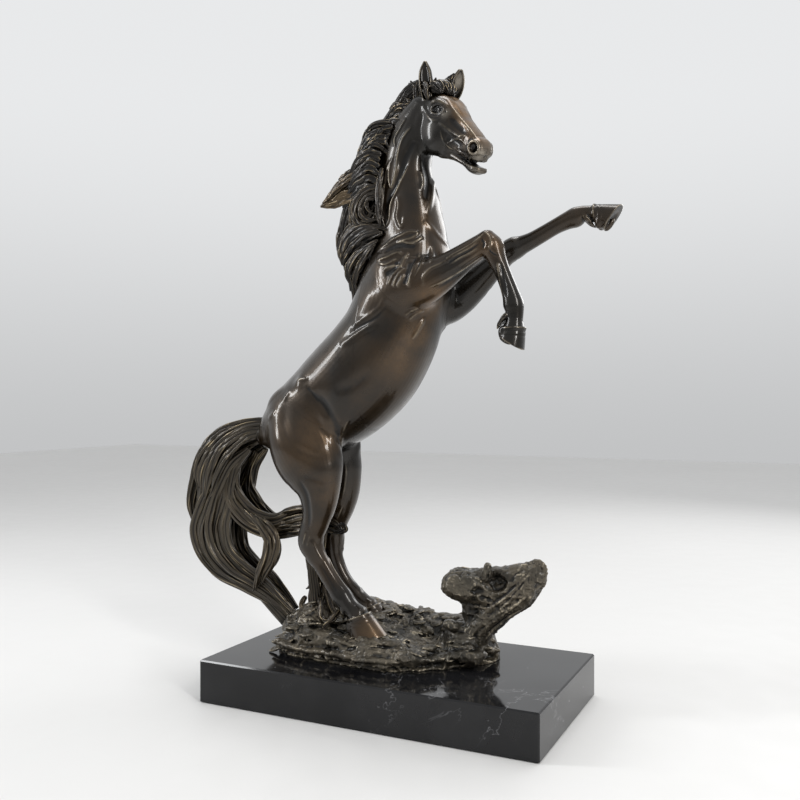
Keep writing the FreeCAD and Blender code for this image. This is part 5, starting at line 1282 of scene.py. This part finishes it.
# ---------------------------------------------------------------- ground and log
GROUND = [
    (-116, -14, 14, 46, 53, 56, 56, 48), (-108, -33, 30, 45, 57, 62, 62, 52), (-92, -42, 44, 45, 59, 68, 70, 56), (-70, -46, 54, 45, 59, 67, 76, 60),
    (-45, -48, 60, 45, 60, 66, 77, 62), (-20, -50, 63, 45, 60.5, 65, 75, 62), (5, -49, 64, 45, 57, 61, 72, 60), (28, -40, 62, 46, 52, 57, 72, 60),
    (48, -25, 58, 47, 50, 58, 70, 58), (64, -9, 52, 49, 53, 60, 66, 56), (76, 8, 42, 50, 55, 60, 60, 52), (81, 18, 33, 47, 51, 53, 52, 47),
]
LOG = [
    ([(58, 12, 50, 14, 14), (72, 13, 68, 12, 12), (88, 13, 84, 11, 11), (106, 13, 99, 11, 12), (119, 13, 115, 10, 11), (126, 13, 127, 6.5, 7)]),
    ([(96, 13, 98, 12, 14), (82, 14, 103, 13, 15), (66, 14, 105, 14, 15), (52, 14, 104, 13, 14), (44, 14, 103, 9, 9)]),
    ([(74, 14, 112, 9, 7.5), (92, 14, 113, 9, 8.5), (108, 13, 118, 9, 8.5), (120, 13, 126, 7, 6)]),
]


def ground_mesh():
    rings = []
    xs = np.array([g[0] for g in GROUND], float)
    secs = []
    for x, yf, yb, z0, z1, z2, z3, z4 in GROUND:
        w = yb - yf
        P = [(yf + 0.10 * w, z0 + 3), (yf + 0.24 * w, z1), (yf + 0.50 * w, z2), (yf + 0.76 * w, z3), (yf + 0.93 * w, z4)]
        P += [(yb, 46.0), (yb - 0.06 * w, 36.0), (yf + 0.75 * w, 31.0), (yf + 0.5 * w, 31.0), (yf + 0.25 * w, 31.0), (yf + 0.06 * w, 36.0), (yf, z0 - 2.5)]
        P = np.array(P)
        k = len(P)
        out = []
        for i in range(k):
            p0, p1, p2, p3 = P[i - 1], P[i], P[(i + 1) % k], P[(i + 2) % k]
            for t in np.arange(6) / 6:
                out.append(0.5 * (2 * p1 + (p2 - p0) * t + (2 * p0 - 5 * p1 + 4 * p2 - p3) * t * t + (3 * p1 - p0 - 3 * p2 + p3) * t ** 3))
        secs.append(np.array(out))
    secs = np.array(secs)
    for i in range(len(xs) - 1):
        m = max(2, int((xs[i + 1] - xs[i]) / 3))
        for t in np.arange(m) / m:
            s = t * t * (3 - 2 * t) * 0.35 + t * 0.65
            yz = secs[i] * (1 - s) + secs[i + 1] * s
            rings.append(np.column_stack([np.full(len(yz), xs[i] * (1 - t) + xs[i + 1] * t), yz]))
    rings.append(np.column_stack([np.full(secs.shape[1], xs[-1]), secs[-1]]))
    return skin(np.array(rings))


def rough(V, specs, seed, band=7.0):
    """Adds layers of noise to the distances near the surface: (size, height, sharpness)."""
    near = np.abs(V.d) < band
    i = np.argwhere(near)
    lo, hi = i.min(0), i.max(0) + 1
    sl = tuple(slice(a, b) for a, b in zip(lo, hi))
    X, Y, Z = V.ax[0][sl[0]][:, None, None], V.ax[1][sl[1]][None, :, None], V.ax[2][sl[2]][None, None, :]
    for k, (size, amp, kind) in enumerate(specs):
        n = noise(X, Y, Z, np.float32(size), seed + k)
        if kind == 1:
            n = np.abs(2 * n - 1)
        elif kind == 2:
            n = 1 - np.abs(2 * n - 1) ** 0.6
        V.d[sl] += np.float32(amp) * (n - 0.5)


def ground_and_log():
    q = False
    V = Vol((-126, -62, 33), (98, 76, 108), 1.2 if q else 0.8)
    V.add_mesh(ground_mesh(), 0, pad=10)
    rng = np.random.default_rng(41)
    # swells round the hooves, under the tail and at the foot of the log
    for c, r, k in (((-22, -30, 50), (30, 17, 11), 7), ((-36, 24, 56), (28, 18, 12), 7), ((-86, 2, 60), (20, 22, 16), 7), ((-104, 4, 54), (14, 20, 13), 5), ((58, 14, 56), (20, 20, 16), 7), ((22, -34, 50), (18, 11, 8), 5), ((66, -4, 48), (16, 12, 9), 5), ((-66, -30, 54), (22, 14, 9), 6)):
        V.ell(c, r, k)
    rough(V, [(26, 4.6, 0), (14, 2.6, 1), (7, 1.2, 2)], 11, 9)
    # pressed-on pellets and torn edges of the wax
    for i in range(230):
        x = rng.uniform(-112, 84)
        y = rng.uniform(-46, 60)
        col = values(V, V.d, np.column_stack([np.full(60, x), np.full(60, y), np.linspace(96, 40, 60)]))
        j = np.argmax(col < 0)
        if col[j] >= 0:
            continue
        z = np.linspace(96, 40, 60)[j]
        p = np.array([[x, y, z]])
        n = slopes(V, V.d, p, 2.6)[0]
        n = unit(n + np.array([0, 0, 0.9 if n[2] > 0.2 else 0.0]))
        a = rng.normal(1.5, 0.5)
        t1 = unit(np.cross(n, [math.cos(a), math.sin(a), 0.3]))
        t2 = np.cross(n, t1)
        r = np.array([rng.uniform(4, 13), rng.uniform(2.4, 5.4), rng.uniform(0.8, 1.8)])
        if x > 62 and y > 8:  # no thin slivers past the rim behind the log
            r = r * [0.45, 0.9, 1.6]
        tilt = n + t1 * rng.uniform(-0.3, 0.3)
        t1 = unit(t1 - tilt * (t1 @ tilt) / (tilt @ tilt))
        A = np.array([t1, np.cross(unit(tilt), t1), unit(tilt)])
        if rng.random() < 0.42:
            V.ell(p[0] + n * 0.3, r * [1, 0.8, 0.9], 0.6, A, cut=True)
        else:
            V.ell(p[0] + n * rng.uniform(-0.4, 0.7), r, rng.uniform(0.5, 1.6), A)
    # a few larger stones, gouges and the rolled front lip
    for c, r, a in (((8, -33, 58), (10, 5, 4), 0.1), ((-64, -36, 56), (8, 4, 3.4), 0.3), ((-44, -40, 54), (9, 4.5, 3.4), -0.2), ((38, -20, 55), (7, 5, 3), 0.6), ((-94, -24, 58), (9, 6, 4), 0.5)):
        A = np.array([[math.cos(a), math.sin(a), 0.15], [-math.sin(a), math.cos(a), 0.1], [0, 0, 1.0]])
        A = np.array([unit(A[0]), unit(A[1] - A[0] * (A[0] @ A[1]) / (A[0] @ A[0])), [0, 0, 1]])
        V.ell(c, r, 0.8, A)
        V.ell((c[0] - 3, c[1] - r[1] - 1.0, c[2] - 1.5), (r[0] * 0.8, 2.0, 1.8), 0.6, A, cut=True)
    edge = [(g[0], g[1] + 2.5, g[3] + 1.5) for g in GROUND[1:]]
    P = smooth_path(edge, 5.0)
    for i in range(len(P)):
        c = P[i] + rng.uniform(-1, 1, 3) * [0, 1.6, 1.0]
        V.ell(c, (rng.uniform(4.5, 8), rng.uniform(2.4, 4.2), rng.uniform(1.6, 2.6)), 1.5)
    for i in range(len(P)):
        if rng.random() < 0.8:
            V.ell(P[i] + np.array([rng.uniform(-2, 2), -0.5, -6.6]), (rng.uniform(4, 8), rng.uniform(3.0, 5.5), rng.uniform(2.2, 3.4)), 1.5, cut=True)
    rough(V, [(3.4, 0.95, 1), (2.0, 0.5, 0)], 31, 3.0)
    X, Y, Z = grid(V)
    V.d = np.maximum(V.d, (37.62 - Z + 0 * X + 0 * Y).astype(np.float32))
    cast("rock_ground", V, "ground_casting", "rock", "bronze_rock", fine=1.0, broad=4.0)
    # the broken trunk
    V = Vol((22, -18, 44), (140, 44, 148), 0.9 if q else 0.6)
    for rows in LOG:
        V.add_mesh(tube([r + (r[-1],) for r in rows], side=(0, 1, 0), step=2, n=48, power=2.3), 5, pad=8)
    # flat broken faces, hollow and the knob in it
    V.ell((90, 12, 108), (28, 10, 13), 5)
    V.ell((60, 6, 105), (20, 12, 13), 4)
    V.ell((50, 2, 70), (8, 6, 5), 4)
    X, Y, Z = grid(V)
    for n, c in (((-0.86, -0.35, 0.36), (40.5, 6, 108)), ((-0.24, -0.30, 0.92), (54, 4, 117)), ((0.66, -0.60, 0.45), (127, 6, 130)), ((0.02, -0.97, 0.24), (70, -2.5, 108)), ((-0.5, 0.6, 0.6), (52, 22, 114)), ((0.3, 0.85, 0.3), (100, 24, 116))):
        V.d = np.maximum(V.d, ((X - c[0]) * n[0] + (Y - c[1]) * n[1] + (Z - c[2]) * n[2]).astype(np.float32))
    V.ell((46, 2, 86), (9, 9, 7), 2.0, unit_axes((0.5, 0, 1)), cut=True)
    V.ell((64, 14, 82), (10, 8, 16), 4)
    V.ell((132, 4, 108), (8, 10, 8), 2.0, unit_axes((0.7, 0, 1)), cut=True)
    V.ell((90, -2, 112), (12, 12, 9.5), 1.2, cut=True)
    V.ell((101, -1, 117), (8, 5, 4), 1.5, cut=True)
    V.ell((76, -3, 103), (7, 4, 4), 1.2, cut=True)
    V.ell((83, -0.5, 119.5), (3.8, 4.6, 8.4), 0.8, unit_axes((0.18, -0.1, 1)))
    V.ell((85.5, -4.6, 118), (1.6, 3.0, 5.2), 0.6, unit_axes((0.3, 0, 1)), cut=True)
    # grain along the limbs
    r2 = np.random.default_rng(5)
    for rows in LOG:
        R = np.array([r + (r[-1],) for r in rows], float)
        for i in range(30):
            ang = r2.uniform(0, 360)
            a, b = sorted(r2.uniform(0.1, len(R) - 1.1, 2))
            if b - a < 0.8:
                b = min(len(R) - 1.05, a + 1.2)
            drift = r2.uniform(-25, 25)
            pts = [leg_point(R, a + (b - a) * t, ang + drift * t) for t in np.linspace(0, 1, 6)]
            stroke(V, pts, r2.uniform(0.9, 1.8), r2.uniform(0.6, 1.4) * (1 if r2.random() < 0.5 else -1))
    rough(V, [(15, 3.4, 0), (6.5, 1.7, 1), (2.6, 0.8, 2)], 71, 6)
    cast("broken_trunk", V, "log_casting", "rock", "bronze_rock", fine=0.9, broad=3.2)


def unit_axes(up):
    w = unit(up)
    u = unit(np.cross([0, 1, 0], w))
    return np.array([u, np.cross(w, u), w])


# ---------------------------------------------------------------- shape helpers: a prism from an outline, a rounded rectangle and a circle; the plinth, felt and fixings are the CAD pieces
def prism(outline, zs, insets):
    """Rings of an outline at heights zs, each drawn in by its inset. Closed with fans."""
    o = np.asarray(outline, float)
    c = o.mean(0)
    rings = []
    for z, i in zip(zs, insets):
        s = 1 - i / np.maximum(np.abs(o - c).max(0), 1e-9)
        rings.append(np.column_stack([(o - c) * s + c, np.full(len(o), z)]))
    return skin(np.array(rings))


def rect(cx, cy, w, d, r=1.0, n=5, sub=24):
    P = []
    for sx, sy, a0 in ((1, 1, 0), (-1, 1, 90), (-1, -1, 180), (1, -1, 270)):
        for k in range(n + 1):
            a = math.radians(a0 + 90 * k / n)
            P.append((cx + sx * (w / 2 - r) + r * math.cos(a), cy + sy * (d / 2 - r) + r * math.sin(a)))
    return P


def circle(cx, cy, r, n=48):
    return [(cx + r * math.cos(a), cy + r * math.sin(a)) for a in np.linspace(0, 2 * np.pi, n, endpoint=False)]


# ---------------------------------------------------------------- materials
class Shader:
    def __init__(self, name, **consts):
        m = bpy.data.materials.new(name)
        m.use_nodes = True
        self.m, self.t = m, m.node_tree
        self.t.nodes.clear()
        self.out = self.t.nodes.new("ShaderNodeOutputMaterial")
        self.bs = self.t.nodes.new("ShaderNodeBsdfPrincipled")
        self.t.links.new(self.bs.outputs[0], self.out.inputs[0])
        for k, v in consts.items():
            self.bs.inputs[k.replace("_", " ")].default_value = v
        tc = self.t.nodes.new("ShaderNodeTexCoord")
        self.co = tc.outputs["Object"]

    def put(self, sock, v):
        if isinstance(v, bpy.types.NodeSocket):
            self.t.links.new(v, sock)
        else:
            sock.default_value = v if not isinstance(v, tuple) or len(v) != 3 or sock.type != "RGBA" else (*v, 1)

    def noise(self, scale, detail=3.0, rough=0.55, vec=None, distort=0.0, out="Fac"):
        n = self.t.nodes.new("ShaderNodeTexNoise")
        self.t.links.new(vec or self.co, n.inputs["Vector"])
        n.inputs["Scale"].default_value = scale
        n.inputs["Detail"].default_value = detail
        n.inputs["Roughness"].default_value = rough
        n.inputs["Distortion"].default_value = distort
        return n.outputs[out]

    def voronoi(self, scale, feature="F1", vec=None, out="Distance", rnd=1.0):
        n = self.t.nodes.new("ShaderNodeTexVoronoi")
        n.feature = feature
        self.t.links.new(vec or self.co, n.inputs["Vector"])
        n.inputs["Scale"].default_value = scale
        n.inputs["Randomness"].default_value = rnd
        return n.outputs[out]

    def stretch(self, s):
        n = self.t.nodes.new("ShaderNodeMapping")
        self.t.links.new(self.co, n.inputs["Vector"])
        n.inputs["Scale"].default_value = s
        return n.outputs[0]

    def attr(self, name):
        n = self.t.nodes.new("ShaderNodeAttribute")
        n.attribute_name = name
        return n.outputs["Fac"]

    def math(self, op, a, b=0.0, clamp=False):
        n = self.t.nodes.new("ShaderNodeMath")
        n.operation = op
        n.use_clamp = clamp
        self.put(n.inputs[0], a)
        self.put(n.inputs[1], b)
        return n.outputs[0]

    def span(self, v, a, b, lo=0.0, hi=1.0, smooth=True):
        n = self.t.nodes.new("ShaderNodeMapRange")
        n.interpolation_type = "SMOOTHSTEP" if smooth else "LINEAR"
        self.put(n.inputs["Value"], v)
        for k, x in (("From Min", a), ("From Max", b), ("To Min", lo), ("To Max", hi)):
            n.inputs[k].default_value = x
        return n.outputs[0]

    def mix(self, f, a, b, mode="MIX"):
        n = self.t.nodes.new("ShaderNodeMix")
        n.data_type = "RGBA"
        n.blend_type = mode
        self.put(n.inputs[0], f)
        self.put(n.inputs[6], a)
        self.put(n.inputs[7], b)
        return n.outputs[2]

    def part(self, axis):
        n = self.t.nodes.new("ShaderNodeSeparateXYZ")
        self.t.links.new(self.co, n.inputs[0])
        return n.outputs[axis]

    def bump(self, h, strength, dist):
        n = self.t.nodes.new("ShaderNodeBump")
        n.inputs["Strength"].default_value = strength
        n.inputs["Distance"].default_value = dist
        self.put(n.inputs["Height"], h)
        self.t.links.new(n.outputs[0], self.bs.inputs["Normal"])

    def done(self, color, rough):
        self.put(self.bs.inputs["Base Color"], color)
        self.put(self.bs.inputs["Roughness"], rough)
        return self.m


def materials():
    # waxed bronze of the horse's body: olive brown-black with warm clouds, hollows near black, folds rubbed paler, with
    # painted highlights on the muzzle, face and far ear and painted shade in the eye sockets, nostrils, mouth and near
    # ear
    s = Shader("bronze_body", Metallic=0.72, Coat_Weight=0.55, Coat_Roughness=0.12, Coat_IOR=1.5)
    cloud = s.noise(13.0, 3.0, 0.55, distort=0.6)
    c = s.mix(s.span(cloud, 0.38, 0.64), (0.0095, 0.0075, 0.0050), (0.031, 0.0190, 0.0088))
    c = s.mix(s.span(s.noise(38.0, 4.0, 0.6), 0.45, 0.75, 0.0, 0.45), c, (0.009, 0.0078, 0.0062))
    mott = s.span(s.noise(26.0, 5.0, 0.65), 0.30, 0.62, 0.35, 1.0)
    c = s.mix(s.math("MULTIPLY", s.attr("warm"), mott), c, (0.215, 0.120, 0.048))
    # painted highlight: pale grey where the muzzle, chin, near face and far ear catch the light
    c = s.mix(s.math("MULTIPLY", s.attr("painted_highlight"), mott), c, (0.40, 0.36, 0.30))
    c = s.mix(s.span(s.attr("broad"), -0.01, -0.12, 0.0, 0.9), c, (0.004, 0.0035, 0.003))
    # painted shade: near black in the eye sockets, nostrils, mouth and the near ear's hollow
    c = s.mix(s.math("MULTIPLY", s.attr("painted_shade"), 0.85), c, (0.005, 0.0045, 0.004))
    rub = s.math("MULTIPLY", s.span(s.attr("fine"), 0.05, 0.26), s.span(s.noise(90.0, 3.0, 0.6), 0.30, 0.62))
    # the rubbed paler folds are kept out of the painted shade
    rub = s.math("MULTIPLY", rub, s.math("SUBTRACT", 1.0, s.attr("painted_shade")))
    c = s.mix(s.math("MULTIPLY", rub, 0.75), c, (0.27, 0.225, 0.160))
    c = s.mix(s.span(s.attr("fine"), -0.04, -0.20, 0.0, 0.8), c, (0.005, 0.0045, 0.004))
    rough = s.span(s.noise(60.0, 4.0, 0.6), 0.3, 0.7, 0.26, 0.42)
    rough = s.math("ADD", rough, s.span(s.attr("fine"), 0.0, -0.2, 0.0, 0.2))
    s.bump(s.noise(520.0, 4.0, 0.6), 0.12, 0.0004)
    MATS["body"] = s.done(c, rough)
    # mane, forelock and tail: near black at the head, olive brown in the tail, gold where the strands stand proud
    s = Shader("bronze_hair", Metallic=0.82, Coat_Weight=0.4, Coat_Roughness=0.20, Coat_IOR=1.5)
    g = s.attr("ridge")
    n1 = s.noise(45.0, 3.0, 0.6)
    c = s.mix(s.span(n1, 0.35, 0.7), (0.010, 0.0085, 0.0075), (0.026, 0.021, 0.016))
    tail = s.span(s.part(0), -0.055, -0.105)
    c = s.mix(s.math("MULTIPLY", tail, s.span(s.noise(17.0, 3.0, 0.6), 0.30, 0.62, 0.35, 1.0)), c, (0.062, 0.050, 0.034))
    c = s.mix(s.math("MULTIPLY", s.attr("gold"), s.span(s.noise(34.0, 3.0, 0.6), 0.36, 0.60, 0.2, 1.0)), c, (0.082, 0.056, 0.028))
    edge = s.math("MULTIPLY", s.span(g, 0.76, 0.98), s.span(s.noise(30.0, 4.0, 0.65), 0.38, 0.66))
    c = s.mix(edge, c, (0.42, 0.33, 0.20))
    c = s.mix(s.span(g, 0.30, 0.0, 0.0, 0.92), c, (0.004, 0.0035, 0.003))
    rough = s.span(s.noise(120.0, 4.0, 0.6), 0.3, 0.7, 0.28, 0.46)
    s.bump(s.noise(700.0, 4.0, 0.6), 0.15, 0.0004)
    MATS["hair"] = s.done(c, rough)
    # ground and trunk: olive brown, black in the hollows, golden grey on the high points, and painted shade in the
    # log's hollow and round its foot
    s = Shader("bronze_rock", Metallic=0.70, Coat_Weight=0.45, Coat_Roughness=0.18, Coat_IOR=1.45)
    c = s.mix(s.span(s.noise(26.0, 4.0, 0.6), 0.36, 0.66), (0.050, 0.043, 0.032), (0.125, 0.104, 0.074))
    c = s.mix(s.span(s.noise(9.0, 3.0, 0.5), 0.45, 0.7, 0.0, 0.5), c, (0.060, 0.058, 0.047))
    hi = s.math("MULTIPLY", s.span(s.attr("fine"), 0.05, 0.32), s.span(s.noise(55.0, 4.0, 0.7), 0.38, 0.66))
    c = s.mix(hi, c, (0.66, 0.57, 0.42))
    c = s.mix(s.span(s.attr("broad"), -0.03, -0.17, 0.0, 0.92), c, (0.010, 0.009, 0.007))
    c = s.mix(s.span(s.attr("fine"), -0.04, -0.20, 0.0, 0.85), c, (0.007, 0.006, 0.005))
    # painted shade: near black in the log's hollow, the gaps round it and at its foot
    c = s.mix(s.math("MULTIPLY", s.attr("painted_shade"), 0.9), c, (0.006, 0.005, 0.004))
    rough = s.span(s.noise(150.0, 4.0, 0.65), 0.3, 0.7, 0.36, 0.60)
    s.bump(s.noise(900.0, 5.0, 0.65), 0.45, 0.0005)
    MATS["rock"] = s.done(c, rough)
    # polished black marble with a few white flecks and hair veins
    s = Shader("black_marble", Specular_IOR_Level=0.36)
    base = s.mix(s.span(s.noise(14.0, 5.0, 0.6), 0.35, 0.7), (0.0045, 0.0045, 0.0052), (0.013, 0.013, 0.014))
    spot = s.math("MULTIPLY", s.span(s.voronoi(120.0), 0.11, 0.05), s.span(s.noise(21.0, 2.0, 0.5), 0.60, 0.68))
    base = s.mix(spot, base, (0.42, 0.42, 0.43))
    w = s.noise(7.0, 6.0, 0.6, distort=1.4)
    line = s.math("ABSOLUTE", s.math("SUBTRACT", w, 0.5))
    vein = s.math("MULTIPLY", s.span(line, 0.006, 0.0), s.span(s.noise(10.0, 3.0, 0.5), 0.52, 0.66, 0.0, 0.5))
    base = s.mix(vein, base, (0.22, 0.22, 0.23))
    rough = s.span(s.noise(40.0, 3.0, 0.5), 0.3, 0.7, 0.06, 0.10)
    MATS["marble"] = s.done(base, rough)
    # felt under the plinth
    s = Shader("felt", Sheen_Weight=0.3, Sheen_Roughness=0.6)
    c = s.mix(s.noise(1500.0, 4.0, 0.7), (0.010, 0.014, 0.011), (0.035, 0.045, 0.036))
    s.bump(s.noise(2600.0, 4.0, 0.7), 0.6, 0.0003)
    MATS["felt"] = s.done(c, s.span(s.noise(300.0, 2.0, 0.5), 0.3, 0.7, 0.88, 0.98))
    # plated steel of the hidden fixings
    s = Shader("plated_steel", Metallic=1.0)
    v = s.stretch((1.0, 1.0, 14.0))
    c = s.mix(s.noise(220.0, 4.0, 0.6, vec=v), (0.36, 0.35, 0.32), (0.58, 0.57, 0.54))
    MATS["steel"] = s.done(c, s.span(s.noise(400.0, 3.0, 0.6, vec=v), 0.3, 0.7, 0.26, 0.44))
    # floor of the set
    s = Shader("floor")
    c = s.mix(s.noise(3.0, 3.0, 0.5), (0.68, 0.675, 0.665), (0.72, 0.715, 0.705))
    MATS["floor"] = s.done(c, s.span(s.noise(30.0, 3.0, 0.5), 0.3, 0.7, 0.55, 0.7))


def dress(node, mat):
    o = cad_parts[node]
    o.data.materials.clear()
    o.data.materials.append(MATS[mat])


def area(name, at, to, size, size_y, watts, color=(1, 1, 1)):
    d = bpy.data.lights.new(name, "AREA")
    d.shape = "RECTANGLE"
    d.size, d.size_y, d.energy, d.color = size, size_y, watts, color
    o = bpy.data.objects.new(name, d)
    o.location = at
    o.rotation_euler = (Vector(to) - Vector(at)).to_track_quat("-Z", "Y").to_euler()
    bpy.context.scene.collection.objects.link(o)
    return o


def set_and_camera():
    n = 48
    g = np.linspace(-3.2, 3.2, n)
    X, Y = np.meshgrid(g, g, indexing="ij")
    pts = np.stack([X.ravel(), Y.ravel(), np.full(n * n, 0.0)], -1)
    i = np.arange(n - 1)[:, None] * n + np.arange(n - 1)[None, :]
    q = np.stack([i, i + n, i + n + 1, i + 1], -1).reshape(-1, 4)
    me = bpy.data.meshes.new("floor")
    me.from_pydata(pts.tolist(), [], q.tolist())
    me.materials.append(MATS["floor"])
    floor = bpy.data.objects.new("floor", me)
    bpy.context.scene.collection.objects.link(floor)
    w = bpy.data.worlds.new("studio")
    w.use_nodes = True
    nt = w.node_tree
    bg = nt.nodes["Background"]
    bg.inputs[0].default_value = (0.88, 0.89, 0.90, 1)
    tc = nt.nodes.new("ShaderNodeTexCoord")
    sp = nt.nodes.new("ShaderNodeSeparateXYZ")
    mr = nt.nodes.new("ShaderNodeMapRange")
    mr.interpolation_type = "SMOOTHSTEP"
    nt.links.new(tc.outputs["Generated"], sp.inputs[0])
    nt.links.new(sp.outputs[1], mr.inputs["Value"])
    for k, x in (("From Min", -0.35), ("From Max", 0.55), ("To Min", 0.64), ("To Max", 0.92)):
        mr.inputs[k].default_value = x
    low = nt.nodes.new("ShaderNodeMapRange")
    low.interpolation_type = "SMOOTHSTEP"
    nt.links.new(sp.outputs[2], low.inputs["Value"])
    for k, x in (("From Min", -0.10), ("From Max", 0.32), ("To Min", 0.66), ("To Max", 1.0)):
        low.inputs[k].default_value = x
    mul = nt.nodes.new("ShaderNodeMath")
    mul.operation = "MULTIPLY"
    nt.links.new(mr.outputs[0], mul.inputs[0])
    nt.links.new(low.outputs[0], mul.inputs[1])
    nt.links.new(mul.outputs[0], bg.inputs[1])
    bpy.context.scene.world = w
    bpy.context.scene.view_settings.view_transform = "Standard"
    t = (0.0, 0.0, 0.30)
    area("key", (1.05, -0.75, 0.85), t, 0.18, 0.80, 9.5, (1.0, 0.99, 0.97))
    area("side", (-1.15, -0.55, 0.85), t, 0.16, 0.90, 8, (0.97, 0.985, 1.0))
    area("top", (0.1, 0.1, 1.40), t, 1.0, 0.22, 5)
    area("back", (0.5, 1.3, 0.8), t, 0.9, 0.5, 5)
    cam = bpy.data.cameras.new("camera")
    cam.lens, cam.sensor_width, cam.sensor_fit = 40.37, 36.0, "HORIZONTAL"
    cam.clip_start = 0.01
    o = bpy.data.objects.new("camera", cam)
    o.location = (0.3473, -0.7212, 0.2699)
    o.rotation_euler = (math.radians(90 - 0.221), 0, math.radians(25.664))
    bpy.context.scene.collection.objects.link(o)
    bpy.context.scene.camera = o


# ---------------------------------------------------------------- the scene
T0 = time.time()
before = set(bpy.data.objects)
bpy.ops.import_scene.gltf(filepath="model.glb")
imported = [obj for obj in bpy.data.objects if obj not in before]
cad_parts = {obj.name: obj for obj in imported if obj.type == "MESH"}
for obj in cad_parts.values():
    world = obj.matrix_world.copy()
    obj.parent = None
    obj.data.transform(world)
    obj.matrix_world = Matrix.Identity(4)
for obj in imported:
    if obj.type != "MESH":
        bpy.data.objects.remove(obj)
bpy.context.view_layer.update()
materials()
body_castings()
hair()
ground_and_log()
dress("marble_plinth", "marble")
dress("felt_sheet", "felt")
for name in ("stud_rear", "stud_front", "washer_rear", "washer_front", "nut_rear", "nut_front", "hoof_pin_right", "hoof_pin_left", "tail_pin"):
    dress(name, "steel")
set_and_camera()
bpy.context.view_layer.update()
print("scene built in", round(time.time() - T0, 1), "s", flush=True)
